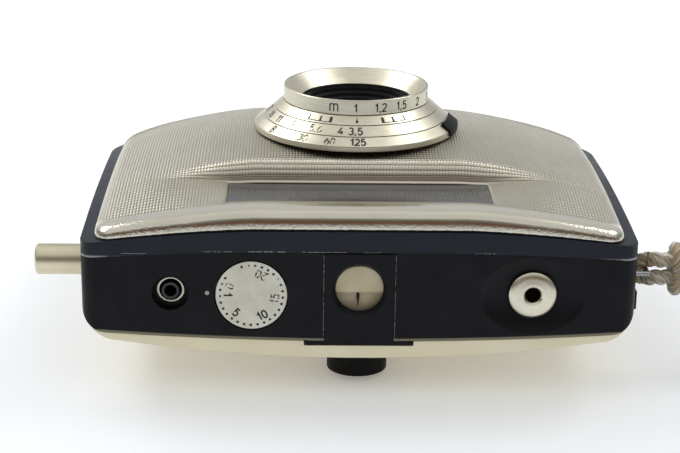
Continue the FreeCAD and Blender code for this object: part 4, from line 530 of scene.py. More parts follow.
def section(x):
    """The panel's cross-section at x, with the knurl's row number at each point."""
    near, far = reach_at(x, CORNER_NEAR), reach_at(x, CORNER_FAR)
    share = share_at(x)
    rim = RIM_HEIGHT - fall(x, RIM_FALL)
    channel_rim = rim + dome_at(CHANNEL_FAR)
    channel = channel_rim + (CHANNEL_HEIGHT - fall(x, CHANNEL_FALL) - channel_rim) * share
    crown = rim + RIM_DOME + (CROWN_HEIGHT - fall(x, CROWN_FALL) - rim - RIM_DOME) * share
    crown = max(crown, channel + CROWN_OVER_CHANNEL)
    start, end = (-near, rim + dome_at(near)), (far, rim + dome_at(far))
    channel_near, channel_far = (CHANNEL_NEAR * near / PANEL_HALF_HEIGHT, channel), (CHANNEL_FAR, channel)
    step_end = (STEP_END, crown - drop_at(STEP_END) * share - STEP_ROLL_SHARE * (crown - channel))
    base_start = (BASE_ROLL_START * far, crown - drop_at(BASE_ROLL_START * far) * share - BASE_ROLL_DROP)
    span = CHANNEL_FAR - channel_near[0]
    run_near = span * (WINDOW_NEAR - CHANNEL_NEAR) / (CHANNEL_FAR - CHANNEL_NEAR)
    run_far = span * (WINDOW_FAR - CHANNEL_NEAR) / (CHANNEL_FAR - CHANNEL_NEAR)
    points = lip_points(start, channel_near) + [channel_near]
    rows = [-(span + LIP_ROWS_BEFORE) / ROW_PITCH] * LIP_COUNT + [-span / ROW_PITCH]
    for index in range(CHANNEL_COUNT + 1):
        run = run_near + (run_far - run_near) * index / CHANNEL_COUNT
        points.append((channel_near[0] + run, channel))
        rows.append(-(span - run) / ROW_PITCH)
    points += arc(channel_far, between(channel_far, step_end, STEP_BULGE), step_end, STEP_COUNT)
    rows += [STEP_ROWS * k / STEP_COUNT for k in range(STEP_COUNT)]
    middle = (0.5 * (step_end[0] + base_start[0]), crown)
    rest = arc(step_end, middle, base_start, CROWN_COUNT)
    rest += arc(base_start, between(end, base_start, ROLL_BULGE), end, ROLL_COUNT) + [end]
    rows += [STEP_ROWS + (y - STEP_END) / ROW_PITCH for y, _ in rest]
    return merged(x, points + rest, channel_near), rows


def lip_points(start, top):
    """The rolled lip: upright at its foot and level at its top."""
    points = []
    for index in range(LIP_COUNT):
        turn = 0.5 * pi * (1 - index / LIP_COUNT)
        y = top[0] - (top[0] - start[0]) * sin(turn) ** (2 / LIP_POWER)
        z = start[1] + (top[1] - start[1]) * max(0.0, cos(turn)) ** (2 / LIP_POWER)
        points.append((y, z))
    return points


def merged(x, points, near):
    """Towards the ends the channel and the step melt into one slope from the lip to the crown."""
    weight = clamp((abs(x) - MERGE_START) / (MERGE_END - MERGE_START))
    weight = weight * weight * (3 - 2 * weight)
    top = max(z for y, z in points if y <= MERGE_FAR)
    blended = []
    for y, z in points:
        if near[0] < y < MERGE_FAR:
            share = (y - near[0]) / (MERGE_FAR - near[0])
            slope = near[1] + (top - near[1]) * sin(0.5 * pi * share) ** MERGE_POWER
            z += (slope - z) * weight
        blended.append((y, z))
    return blended


def stations():
    """Cross-section places: even along the front, closer together where the ends roll over."""
    (first, second, last), (one, two, three) = STATION_ENDS, STATION_COUNTS
    half = [first * k / one for k in range(one)]
    half += [first + (second - first) * k / two for k in range(two)]
    half += [second + (last - second) * sin(0.5 * pi * k / three) for k in range(three + 1)]
    return [-x for x in reversed(half[1:])] + half


def panel_finish():
    """Champagne-anodised aluminium: knurled field and fluted step with painted shade in their grooves, smooth
    rolled lip with painted light on its top.
    """
    made = Finish("panel_anodised", Metallic=1.0)
    laid = made.node("ShaderNodeUVMap", uv_map="knurl").outputs["UV"]
    uv = made.node("ShaderNodeSeparateXYZ", {0: laid}).outputs
    mask, lip, lip_top_light = (made.node("ShaderNodeAttribute", attribute_name=name).outputs["Fac"]
                          for name in ("knurled", "lip", "lip_top_light"))
    waves = []
    for axis in ("X", "Y"):
        wave = made.math("ABSOLUTE", made.math("SINE", made.times(uv[axis], pi)))
        waves.append(made.math("POWER", wave, 0.55))
    pillow = made.times(waves[0], waves[1])
    tone = made.blend(made.noise(70.0, 4.0), (0.585, 0.555, 0.46, 1), (0.65, 0.62, 0.53, 1))
    # Painted shade: dark lines between the step's rows, and dark knurl grooves.
    past_step = made.span(uv["Y"], STEP_ROWS + 0.1, STEP_ROWS + 0.5, 1.0, 0.0)
    on_step = made.times(made.span(uv["Y"], 0.1, 0.6), past_step)
    line = made.times(made.span(waves[1], 0.25, 0.6, 0.75, 0.0), on_step)
    groove_shade = made.math("MAXIMUM", made.span(pillow, 0.0, 0.7, 0.6, 0.0), line)
    tone = made.mix(made.times(groove_shade, mask), tone, (0.24, 0.20, 0.14, 1))
    # Painted light: the lip's top is made paler.
    made.wire(made.mix(lip_top_light, tone, (0.84, 0.80, 0.68, 1)), "Base Color")
    dull = made.span(made.noise(160.0), 0.3, 0.7, 0.34, 0.42)
    made.wire(made.math("ADD", made.times(lip, -0.20), dull), "Roughness")
    fine = made.bump(made.noise(2600.0), 0.00003, 0.35)
    foot = made.span(made.split()["Z"], at(0, 0, 14.9)[2], at(0, 0, 13.6)[2], 0.12, 1.0, True)
    dents = made.times(made.noise(2100.0, 2.0), made.times(lip, foot))
    hammered = made.bump(dents, 0.00008, 0.9, fine)
    made.wire(made.bump(made.times(pillow, mask), 0.00013, 1.0, hammered), "Normal")
    return made.material


def knurl_cover(x, y, index):
    """How much of the knurl a point of the cross-section carries."""
    crown_start = LIP_COUNT + CHANNEL_COUNT + 2
    if index < LIP_COUNT:
        return 0.0
    cover = clamp((KNURL_END - abs(x)) / KNURL_END_FADE)
    beside = clamp((abs(x) - BESIDE_START) / BESIDE_FADE)
    if index < crown_start:
        cover *= CHANNEL_KNURL + (1 - CHANNEL_KNURL) * beside if abs(x) > CHANNEL_KNURL_START else 0.0
    elif index < crown_start + STEP_COUNT // 4:
        cover *= beside
    return cover * clamp(reach_at(x, CORNER_FAR) - BASE_MARGIN - y)


def add_panel():
    points, coordinates = [], []
    values = {"knurled": [], "lip": [], "lip_top_light": []}
    xs = stations()
    for x in xs:
        profile, rows = section(x)
        for index, ((y, z), row) in enumerate(zip(profile, rows)):
            on_lip = index < LIP_COUNT
            points.append([x, y, z])
            coordinates.append((x / KNURL_PITCH, row))
            values["knurled"].append(knurl_cover(x, y, index))
            values["lip"].append(1.0 if on_lip else 0.0)
            # How much painted light the lip's top takes at this point.
            rubbed = clamp((index / LIP_COUNT - LIP_LIGHT_START) / LIP_LIGHT_FADE)
            values["lip_top_light"].append(rubbed if on_lip else 0.0)
    count = len(points) // len(xs)
    faces = []
    for column in range(len(xs) - 1):
        middle_x = 0.5 * (xs[column] + xs[column + 1])
        for index in range(count - 1):
            here, there = column * count + index, (column + 1) * count + index
            corners = (there, there + 1, here + 1, here)
            y = sum(points[corner][1] for corner in corners) / 4
            in_window = abs(middle_x) < WINDOW_HALF_WIDTH and 0 < index - LIP_COUNT <= CHANNEL_COUNT
            if not in_window and hypot(middle_x, y - LENS_Y) >= LENS_HOLE:
                faces.append(corners)
    fit_hole(points, faces)
    used = sorted({corner for face in faces for corner in face})
    renumbered = {old: new for new, old in enumerate(used)}
    piece = mesh_piece("pressed_panel", [at(*points[old]) for old in used],
                       [tuple(renumbered[corner] for corner in face) for face in faces],
                       panel_finish(), "camera_body")
    layer = piece.data.uv_layers.new(name="knurl")
    for loop in piece.data.loops:
        layer.data[loop.index].uv = coordinates[used[loop.vertex_index]]
    for name, numbers in values.items():
        attribute = piece.data.attributes.new(name, "FLOAT", "POINT")
        for new, old in enumerate(used):
            attribute.data[new].value = numbers[old]
    thick = piece.modifiers.new("thickness", "SOLIDIFY")
    thick.thickness, thick.offset = SHEET_THICKNESS * MM, -1.0
    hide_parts("front_panel")


def fit_hole(points, faces):
    """Draws the vertices round the lens opening onto its circle."""
    uses = {}
    for face in faces:
        for first, second in zip(face, face[1:] + face[:1]):
            key = (min(first, second), max(first, second))
            uses[key] = uses.get(key, 0) + 1
    for corner in {corner for edge, number in uses.items() if number == 1 for corner in edge}:
        x, y, _ = points[corner]
        distance = hypot(x, y - LENS_Y)
        if distance < LENS_HOLE + HOLE_REACH:
            scale = (LENS_HOLE + HOLE_FIT) / distance
            points[corner][0] = x * scale
            points[corner][1] = LENS_Y + (y - LENS_Y) * scale


# ---------------- turned rings

RING_SIDES, ROUND_STEPS = 192, 4
SPEED_CONE = ((21.4, 23.4), (19.24, 24.85))
APERTURE_CONE = ((19.24, 24.95), (17.2, 26.69))
SCALE_CONE = ((17.15, 26.79), (15.36, 28.32))
FOCUS_WALL = ((15.26, 28.42), (15.26, 31.33))
# Piece, the node it stands for, its body, its section as radius and height, and the round at each corner.
RINGS = (
    ("speed_band", "speed_ring", "speed_ring", ((17.6, 22.3), (21.4, 22.3), *SPEED_CONE, (17.6, 24.85)),
     (0, 0.15, 0.22, 0.1, 0)),
    ("aperture_band", "aperture_ring", "aperture_ring", ((15.8, 24.95), *APERTURE_CONE, (15.8, 26.69)),
     (0, 0.08, 0.1, 0)),
    ("scale_band", "scale_ring", "camera_body", ((14.2, 26.79), *SCALE_CONE, (14.2, 28.32)), (0, 0.08, 0.1, 0)),
    ("focus_band", "focus_ring", "focus_ring",
     ((11.53, 28.42), *FOCUS_WALL, (15.11, 31.48), (14.76, 31.48), (11.53, 28.67)),
     (0, 0.1, 0.05, 0.05, 0.12, 0.05)),
)


def rounded(profile, radii):
    """A closed profile with its corners turned round; radii match the corners."""
    points = []
    for index, corner in enumerate(profile):
        radius = radii[index]
        if not radius:
            points.append(corner)
            continue
        before, after = Vector(profile[index - 1]), Vector(profile[(index + 1) % len(profile)])
        here = Vector(corner)
        back, on = (before - here).normalized(), (after - here).normalized()
        for k in range(ROUND_STEPS + 1):
            share = k / ROUND_STEPS
            points.append(tuple(here + back * radius * (1 - share) ** 2 + on * radius * share ** 2))
    return points


def add_rings(material):
    """The four champagne rings, turned round the lens axis."""
    for name, node, body, profile, radii in RINGS:
        line = rounded(profile, radii)
        points, faces = [], []
        for side in range(RING_SIDES):
            turn = tau * side / RING_SIDES
            points += [at(r * sin(turn), LENS_Y - r * cos(turn), z) for r, z in line]
        count = len(line)
        for side in range(RING_SIDES):
            here, there = side * count, (side + 1) % RING_SIDES * count
            for index in range(count):
                after = (index + 1) % count
                faces.append((here + index, there + index, there + after, here + after))
        ring = mesh_piece(name, points, faces, material, body, origin=at(0, LENS_Y, 0))
        ring.modifiers.new("normals", "WEIGHTED_NORMAL").keep_sharp = True
        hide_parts(node)


# ---------------- engraved numbers

def bow(cx, cy, rx, ry, start, end, count=12):
    """An elliptical arc in a glyph's unit square, in degrees."""
    angles = [radians(start + (end - start) * k / count) for k in range(count + 1)]
    return [(cx + rx * cos(a), cy + ry * sin(a)) for a in angles]


# Each character's advance and pen lines, in a unit square.
GLYPHS = {
    "0": (0.62, [bow(0.28, 0.5, 0.28, 0.5, 90, 450, 24)]),
    "1": (0.42, [[(0.0, 0.72), (0.24, 1.0), (0.24, 0.0)]]),
    "2": (0.62, [bow(0.27, 0.72, 0.26, 0.28, 165, -35) + [(0.0, 0.0), (0.56, 0.0)]]),
    "3": (0.60, [bow(0.25, 0.755, 0.24, 0.245, 150, -88), bow(0.25, 0.265, 0.27, 0.265, 88, -150)]),
    "4": (0.66, [[(0.36, 1.0), (0.0, 0.28), (0.58, 0.28)], [(0.42, 0.55), (0.42, 0.0)]]),
    "5": (0.60, [[(0.52, 1.0), (0.1, 1.0), (0.06, 0.56)] + bow(0.25, 0.33, 0.28, 0.33, 125, -150)]),
    "6": (0.62, [bow(0.28, 0.31, 0.27, 0.31, 90, 450, 20), [(0.03, 0.42), (0.16, 0.72), (0.46, 1.0)]]),
    "8": (0.62, [bow(0.28, 0.755, 0.23, 0.245, 90, 450, 20), bow(0.28, 0.26, 0.28, 0.26, 90, 450, 20)]),
    "B": (0.64, [[(0.0, 0.0), (0.0, 1.0), (0.28, 1.0)] + bow(0.28, 0.76, 0.24, 0.24, 90, -90) + [(0.0, 0.52)],
                 [(0.28, 0.52)] + bow(0.28, 0.26, 0.28, 0.26, 90, -90) + [(0.0, 0.0)]]),
    "m": (1.25, [[(0.0, 0.0), (0.0, 1.0)], bow(0.27, 0.72, 0.27, 0.28, 180, 0) + [(0.54, 0.0)],
                 bow(0.81, 0.72, 0.27, 0.28, 180, 0) + [(1.08, 0.0)]]),
    ",": (0.22, [[(0.08, 0.1), (0.0, -0.16)]]),
}
GLYPH_GAP, LAST_GAP = 0.16, 0.06
PAINT_THICKNESS, PAINT_LIFT, LONGEST_RUN = 0.012, 0.012, 0.5


def strip(line, half):
    """The outline pairs of a pen stroke that follows a line."""
    pairs = []
    for index, (x, y) in enumerate(line):
        ahead = line[min(index + 1, len(line) - 1)]
        behind = line[max(index - 1, 0)]
        if index == 0 or index == len(line) - 1:
            across = atan2(ahead[1] - behind[1], ahead[0] - behind[0]) + pi / 2
            size = half if ahead != behind else 0.0
        else:
            first = atan2(y - behind[1], x - behind[0])
            second = atan2(ahead[1] - y, ahead[0] - x)
            bend = (second - first + pi) % tau - pi
            across = first + bend / 2 + pi / 2
            size = half / max(0.45, cos(bend / 2))
        out = (size * cos(across), size * sin(across))
        pairs.append(((x + out[0], y + out[1]), (x - out[0], y - out[1])))
    return pairs


def finely(line):
    """The line with its long runs divided, so that it can wrap round a ring."""
    fine = [line[0]]
    for (ax, ay), (bx, by) in zip(line, line[1:]):
        parts = max(1, ceil(dist((ax, ay), (bx, by)) / LONGEST_RUN))
        fine += [(ax + (bx - ax) * k / parts, ay + (by - ay) * k / parts) for k in range(1, parts + 1)]
    return fine


class Print:
    """Paint-filled marks gathered into one mesh; place(u, v) puts flat millimetres onto the surface."""

    def __init__(self):
        self.points, self.faces = [], []

    def stroke(self, line, width, place):
        pairs = strip(finely(line), width / 2)
        start = len(self.points)
        for left, right in pairs:
            self.points += [place(*left), place(*right)]
        for k in range(len(pairs) - 1):
            here = start + 2 * k
            self.faces.append((here, here + 1, here + 3, here + 2))

    def dot(self, radius, place, sides=12):
        start = len(self.points)
        for k in range(sides):
            angle = tau * k / sides
            self.points.append(place(radius * cos(angle), radius * sin(angle)))
        self.faces.append(tuple(range(start, start + sides)))

    def text(self, words, height, width, place, condense=1.0):
        """Words centred on the place's origin, standing on v = -height / 2."""
        pen = -(sum(GLYPHS[c][0] + GLYPH_GAP for c in words) - GLYPH_GAP - LAST_GAP) / 2
        for character in words:
            advance, lines = GLYPHS[character]
            for line in lines:
                scaled = [((pen + x) * height * condense, (y - 0.5) * height) for x, y in line]
                self.stroke(scaled, width, place)
            pen += advance + GLYPH_GAP

    def piece(self, name, material, body, slot="lens_black"):
        made = mesh_piece(name, self.points, self.faces, material, body, smooth=False)
        thick = made.modifiers.new("paint", "SOLIDIFY")
        thick.thickness, thick.offset = PAINT_THICKNESS * MM, 0.0


def paint_finish(name, colour, wear):
    """Engraving paint, rubbed away in places where wear is above zero."""
    made = Finish(name, Roughness=0.55)
    pale = tuple(min(1, 1.9 * c + 0.01) for c in colour)
    made.wire(made.blend(made.noise(2500.0), (*colour, 1), (*pale, 1)), "Base Color")
    if wear:
        made.wire(made.span(made.noise(2300.0), wear - 0.06, wear + 0.05), "Alpha")
    return made.material


def on_cone(low, high, angle):
    """A place() on a cone or cylinder round the lens axis, at an angle from -Y towards +X."""
    (low_r, low_z), (high_r, high_z) = low, high
    slant = hypot(high_r - low_r, high_z - low_z)
    middle = (0.5 * (low_r + high_r), 0.5 * (low_z + high_z))
    up = ((high_r - low_r) / slant, (high_z - low_z) / slant)
    out = (up[1] * PAINT_LIFT, -up[0] * PAINT_LIFT)

    def place(u, v):
        radius = middle[0] + up[0] * v + out[0]
        turn = radians(angle) + u / middle[0]
        return at(radius * sin(turn), LENS_Y - radius * cos(turn), middle[1] + up[1] * v + out[1])
    return place


# Body, surface, height and pen of each scale, then its numbers: angle, words and whether they are rubbed.
RING_NUMBERS = (
    ("speed_ring", SPEED_CONE, 1.62, 0.36,
     ((0.0, "125", False), (-16.4, "60", True), (-33.6, "30", True), (-58.4, "B", False))),
    ("aperture_ring", APERTURE_CONE, 1.66, 0.32,
     ((-1.5, "3,5", False), (-11.0, "4", False), (-28.0, "5,6", True), (-47.0, "8", True),
      (-62.0, "11", False), (-76.0, "16", False), (-92.0, "22", False))),
    ("focus_ring", FOCUS_WALL, 1.62, 0.28,
     ((-1.5, "1", False), (18.2, "1,2", False), (36.6, "1,5", False), (55.1, "2", False),
      (73.0, "3", False), (88.0, "5", False))),
)
METRES_ANGLE, FAR_ANGLE = -18.5, 110.5


def add_ring_numbers(black, worn):
    for body, cone, height, pen, numbers in RING_NUMBERS:
        for rubbed, material, label in ((False, black, "marks"), (True, worn, "worn_marks")):
            marks = Print()
            for angle, word, is_rubbed in numbers:
                if is_rubbed == rubbed:
                    marks.text(word, height, pen, on_cone(*cone, angle), 0.95)
            if body == "focus_ring" and not rubbed:
                marks.text("m", 1.55, 0.27, on_cone(*cone, METRES_ANGLE))
                for side in (-1, 1):
                    marks.stroke(bow(0.42 * side, 0, 0.42, 0.42, 0, 360, 20), 0.25, on_cone(*cone, FAR_ANGLE))
            if marks.faces:
                marks.piece(f"{body}_{label}", material, body)


DEPTH_TURN = -0.7
DEPTH_BARS = ((19.0, 0.62), (27.0, 0.42), (36.5, 0.30))
DEPTH_LINE = (19.0, 23.0, 27.0, 32.0, 36.5)


def add_scale_marks(black):
    """Index and depth-of-field marks on the fixed scale ring."""
    marks = Print()
    radius = 0.5 * (SCALE_CONE[0][0] + SCALE_CONE[1][0])
    middle = on_cone(*SCALE_CONE, DEPTH_TURN)
    marks.stroke([(0, 0.1), (0, 0.85)], 0.16, middle)
    for part in range(4):
        turn = radians(90 * part)
        marks.stroke([(0.0, -0.25), (0.3 * cos(turn), -0.25 + 0.38 * sin(turn))], 0.3, middle)
    for side in (-1, 1):
        for degrees, width in DEPTH_BARS:
            marks.stroke([(0, -0.75), (0, 0.62)], width, on_cone(*SCALE_CONE, side * degrees + DEPTH_TURN))
        marks.stroke([(side * radians(a) * radius, -0.68) for a in DEPTH_LINE], 0.18, middle)
    marks.piece("depth_marks", black, "camera_body")


COUNTER_X, COUNTER_RADIUS, COUNTER_DIVISIONS = -20.95, 6.9, 29
DOT_RING, NUMBER_RING, DOT_RADIUS = 0.885, 0.665, 0.27
FAINT_DOTS, MISSING_DOTS = (14, 15, 9, 10, 20, 22), (17, 18)
COUNTER_NUMBERS = ((27.6, "10", False), (-39.7, "5", False), (-90.8, "1", False), (-114.0, "0", True),
                   (82.0, "15", True), (155.0, "20", True))


def on_counter(radius, angle):
    """A place() on the counter's face; the angle runs from straight down towards +X, feet outwards."""
    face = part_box("counter_dial")[0][1] / MM + SOCKET_DEPTH - PAINT_LIFT
    turn = radians(angle)
    out = (sin(turn), -cos(turn))

    def place(u, v):
        return at(COUNTER_X + out[0] * (radius - v) - out[1] * u, face, out[1] * (radius - v) + out[0] * u)
    return place


def add_counter_marks(black, worn):
    sets = {False: Print(), True: Print()}
    for index in range(COUNTER_DIVISIONS):
        if index not in MISSING_DOTS:
            place = on_counter(DOT_RING * COUNTER_RADIUS, -1 + index * 360 / COUNTER_DIVISIONS)
            sets[index in FAINT_DOTS].dot(DOT_RADIUS, place)
    for angle, word, rubbed in COUNTER_NUMBERS:
        sets[rubbed].text(word, 1.55, 0.3 if rubbed else 0.34, on_counter(NUMBER_RING * COUNTER_RADIUS, angle))
    sets[False].piece("counter_marks", black, "counter_dial")
    sets[True].piece("counter_worn_marks", worn, "counter_dial")


# ---------------- finishes of the CAD parts

def ring_finish():
    """Turned and brushed metal, its lines running round the lens axis."""
    made = Finish("ring_anodised", Metallic=1.0, Anisotropic=0.6)
    made.wire(made.node("ShaderNodeTangent", direction_type="RADIAL", axis="Z").outputs[0], "Tangent")
    return brushed(made, (0.55, 0.515, 0.40, 1), (0.70, 0.665, 0.545, 1), (0.26, 0.36))


def brushed(made, dark, light, roughness):
    """Fine lines over a slow change of tone."""
    cloud = made.noise(120.0)
    lines = made.times(made.noise(9000.0, 2.0, (0.04, 0.04, 1.0)), 0.5)
    mixed = made.math("ADD", lines, made.times(cloud, 0.5))
    made.wire(made.ramp(mixed, [(0.35, dark), (0.65, light)]), "Base Color")
    made.wire(made.span(cloud, 0.3, 0.7, *roughness), "Roughness")
    made.wire(made.bump(made.noise(5000.0, 2.0), 0.000008, 0.4), "Normal")
    return made


SHELL_BACK, SHELL_BOW, SHELL_HALF_WIDTH = 9.4, 1.9, 54.0
FOOT_LINE = (0.35, 0.6)


def shell_finish(name, foot_share):
    """Semi-matt black moulding with a little dust, and an olive line along its foot."""
    made = surface(name, 180.0, (0.38, 0.50), 2600.0, 0.00002, Specular_IOR_Level=0.17)
    dust = made.span(made.noise(1500.0, 2.0), 0.74, 0.80, 0.0, 0.7)
    base = made.blend(made.noise(180.0, 4.0), (0.0040, 0.0044, 0.0062, 1), (0.0085, 0.0092, 0.0125, 1))
    base = made.mix(dust, base, (0.12, 0.12, 0.13, 1))
    axes = made.split()
    bow_share = SHELL_BOW * MM / (SHELL_HALF_WIDTH * MM) ** 2
    bowed = made.times(made.math("POWER", axes["X"], 2.0), bow_share)
    height = made.math("SUBTRACT", axes["Z"], bowed)
    low, high = (at(0, 0, -SHELL_BACK + rise)[2] for rise in FOOT_LINE)
    foot = made.span(height, low, high, foot_share, 0.0)
    made.wire(made.mix(foot, base, (0.34, 0.32, 0.23, 1)), "Base Color")
    return made


def navy_finish():
    """Dark navy moulding, rubbed pale along its lower seam and at its near corners."""
    made = Finish("frame_moulding", Specular_IOR_Level=0.25)
    axes = made.split()
    tone = made.blend(made.noise(150.0), (0.006, 0.009, 0.017, 1), (0.012, 0.017, 0.030, 1))
    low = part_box("front_frame")[0][2]
    seam = made.span(axes["Z"], low + 0.00015, low + 0.0007, 1.0, 0.0, True)
    near_side = made.span(axes["Y"], at(0, -35.5, 0)[1], at(0, -34.0, 0)[1], 1.0, 0.0)
    scratch = made.span(made.noise(420.0, 5.0, (0.35, 1, 3.0)), 0.60, 0.66, 0.0, 0.55)
    corner = made.span(made.math("ABSOLUTE", axes["X"]), 0.0440, 0.0500, 0.0, 1.0, True)
    rub = made.span(made.noise(330.0), 0.38, 0.55, 0.15, 0.9)
    line = made.times(made.times(seam, near_side), scratch)
    ends = made.times(made.times(seam, corner), rub)
    made.wire(made.mix(made.math("MAXIMUM", line, ends), tone, (0.60, 0.59, 0.66, 1)), "Base Color")
    made.wire(made.span(made.noise(300.0), 0.3, 0.7, 0.26, 0.38), "Roughness")
    made.wire(made.bump(made.noise(2400.0, 2.0), 0.00002, 0.5), "Normal")
    return made


def glass_finish(name, tint, roughness, index=1.49):
    """Clear glass or acrylic with faint smears."""
    made = Finish(name, IOR=index, Transmission_Weight=1.0)
    made.wire(made.blend(made.noise(60.0), tint, (1, 1, 1, 1)), "Base Color")
    made.wire(made.span(made.noise(250.0, 4.0), 0.35, 0.7, roughness * 0.3, roughness), "Roughness")
    return made


def window_finish():
    """The long window as it is seen: a dark screen under a clear coat, with fine flutes that stand partly for
    the cells behind the glass and partly for a painted reflection of the knurled step.
    """
    made = Finish("window_flutes_and_reflection", Roughness=0.2, Coat_Weight=0.25, Coat_Roughness=0.12)
    # The flutes are partly the cells behind the glass and partly a painted reflection of the knurled step.
    turn = made.times(made.split()["X"], pi / (0.9 * MM))
    flute_and_reflection = made.times(made.math("ABSOLUTE", made.math("SINE", turn)), 0.4)
    tone = made.math("ADD", flute_and_reflection, made.times(made.noise(160.0, 4.0, (1, 3, 1)), 0.6))
    made.wire(made.ramp(tone, [(0.2, (0.020, 0.023, 0.030, 1)), (0.8, (0.060, 0.064, 0.074, 1))]), "Base Color")
    made.wire(made.bump(made.noise(120.0, 2.0), 0.00002, 0.3), "Normal")
    return made


def cell_finish():
    """Honeycomb light cells behind the window."""
    made = Finish("selenium_cell", Metallic=0.3)
    cells = made.node("ShaderNodeTexVoronoi", {
        "Vector": made.stretched(made.coordinates(), (1, 1, 0)), "Scale": 620.0, "Randomness": 0.0,
    }).outputs["Distance"]
    made.wire(made.ramp(cells, [(0.2, (0.03, 0.035, 0.05, 1)), (0.6, (0.006, 0.006, 0.01, 1))]), "Base Color")
    made.wire(made.span(made.noise(400.0), 0.3, 0.7, 0.2, 0.35), "Roughness")
    made.wire(made.bump(cells, 0.0002, 0.8), "Normal")
    return made


def distance_from(made, x, z):
    """How far a point is from an upright line, seen from the top plate."""
    axes = made.split()
    across = made.math("POWER", made.math("SUBTRACT", axes["X"], x), 2.0)
    up = made.math("POWER", made.math("SUBTRACT", axes["Z"], z), 2.0)
    return made.math("SQRT", made.math("ADD", across, up))


def button_finish():
    """Pearly anodised release button with a dark threaded bore."""
    made = surface("pearl_anodised", 190.0, (0.26, 0.36), Metallic=1.0)
    low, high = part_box("release_button")
    distance = distance_from(made, 0.5 * (low[0] + high[0]), 0.5 * (low[2] + high[2]))
    tone = made.blend(made.noise(190.0, 4.0), (0.64, 0.60, 0.47, 1), (0.80, 0.76, 0.63, 1))
    bore = made.span(distance, 0.00142, 0.00150, 1.0, 0.0)
    made.wire(made.mix(bore, tone, (0.05, 0.045, 0.035, 1)), "Base Color")
    return made


CARD_HEIGHT = 1.2


def card_finish():
    """Yellowed scale card, with painted shade darkening it round its rim."""
    made = surface("meter_card", 220.0, (0.6, 0.75))
    # Painted shade: the card darkens round its rim, where its recess shades it.
    rim = made.span(distance_from(made, 0.0, CARD_HEIGHT * MM), 0.0045, 0.0055, 0.0, 0.5, True)
    tone = made.blend(made.noise(220.0, 4.0), srgb(240, 222, 170), srgb(252, 242, 206))
    made.wire(made.mix(rim, tone, srgb(74, 62, 38)), "Base Color")
    return made


# Dark and light tone, scale of the mottling, roughness and how metallic each plain finish is.
PLAIN = {
    "back_enamel": ((0.88, 0.80, 0.55, 1), (0.95, 0.89, 0.68, 1), 55.0, (0.30, 0.42), 0.45),
    "panel_plain": ((0.60, 0.56, 0.47, 1), (0.66, 0.62, 0.53, 1), 90.0, (0.3, 0.42), 1.0),
    "lens_enamel": ((0.006, 0.006, 0.009, 1), (0.014, 0.014, 0.020, 1), 300.0, (0.28, 0.4), 0.0),
    "sheet_steel": ((0.32, 0.32, 0.33, 1), (0.44, 0.44, 0.45, 1), 200.0, (0.35, 0.5), 1.0),
    "blade_steel": ((0.03, 0.03, 0.032, 1), (0.07, 0.07, 0.075, 1), 260.0, (0.35, 0.5), 0.8),
    "brass": ((0.52, 0.40, 0.18, 1), (0.68, 0.53, 0.26, 1), 300.0, (0.25, 0.4), 1.0),
    "spring_steel": ((0.36, 0.36, 0.38, 1), (0.5, 0.5, 0.52, 1), 400.0, (0.25, 0.35), 1.0),
    "cast_alloy": ((0.40, 0.40, 0.39, 1), (0.52, 0.52, 0.50, 1), 150.0, (0.45, 0.6), 1.0),
    "strap_plain": (srgb(150, 138, 110), srgb(200, 190, 165), 800.0, (0.85, 0.95), 0.0),
    "satin_disc": ((0.64, 0.625, 0.53, 1), (0.76, 0.745, 0.65, 1), 210.0, (0.42, 0.55), 0.85),
    "plunger_anodised": ((0.62, 0.56, 0.40, 1), (0.72, 0.66, 0.50, 1), 160.0, (0.28, 0.4), 1.0),
}
# Grain of the finishes whose grain isn't the usual one.
GRAINS = {"back_enamel": (3200.0, 0.00001), "cast_alloy": (1400.0, 0.00006)}


def add_finishes():
    """Every CAD node gets the finish of its slot or one of its own, and the seen ones get rounded edges."""
    plain = {}
    for name, (dark, light, scale, roughness, metallic) in PLAIN.items():
        plain[name] = mottled(name, dark, light, scale, roughness, *GRAINS.get(name, ()), Metallic=metallic)
    black = mottled("tab_moulding", (0.004, 0.004, 0.004, 1), (0.009, 0.009, 0.009, 1), 500.0, (0.5, 0.6),
                    Specular_IOR_Level=0.15)
    slots = {
        **plain, "shell_black": shell_finish("shell_moulding", 0.85), "frame_navy": navy_finish(),
        "back_champagne": plain["back_enamel"], "ring_champagne": ring_finish(),
        "panel_champagne": plain["panel_plain"], "lens_black": plain["lens_enamel"],
        "clear_glass": glass_finish("clear_glass", (0.93, 0.96, 1.0, 1), 0.12),
        "selenium": cell_finish(), "meter_card": card_finish(),
        "blade_black": plain["blade_steel"], "strap_cord": plain["strap_plain"],
        "bright_steel": brushed(Finish("brushed_steel", Metallic=1.0, Anisotropic=0.2),
                                (0.45, 0.45, 0.45, 1), (0.62, 0.62, 0.61, 1), (0.25, 0.4)),
    }
    special = {
        "meter_insert": shell_finish("insert_moulding", 0.0), "window_glass": window_finish(),
        "meter_glass": glass_finish("meter_window", (0.97, 0.98, 1.0, 1), 0.05, 1.2),
        "release_button": button_finish(), "counter_dial": plain["satin_disc"],
        "plunger": plain["plunger_anodised"], "strap_lug": plain["sheet_steel"],
        "flash_core": plain["blade_steel"], "flash_sleeve": plain["panel_plain"],
    }
    blackened = ("speed_tab", "eyepiece", "back_catch", "flash_insulator", "meter_needle")
    special.update(dict.fromkeys(blackened, black))
    for part in frame["record"]["subparts"]:
        finish = special.get(part["node"], slots[part["material_slot"]]).material
        materials = NODES[part["node"]].data.materials
        if not materials:
            materials.append(finish)
        for index in range(len(materials)):
            materials[index] = finish
    soften()


# Width of the rounded edges of the parts that are seen.
EDGES = {
    "body_shell": 0.18, "front_frame": 0.25, "back_cover": 0.15, "speed_tab": 0.15, "counter_dial": 0.06,
    "plunger": 0.12, "eyepiece": 0.15, "release_button": 0.10, "meter_insert": 0.07, "window_glass": 0.08,
    "back_catch": 0.15, "strap_lug": 0.12, "tripod_bush": 0.08,
}


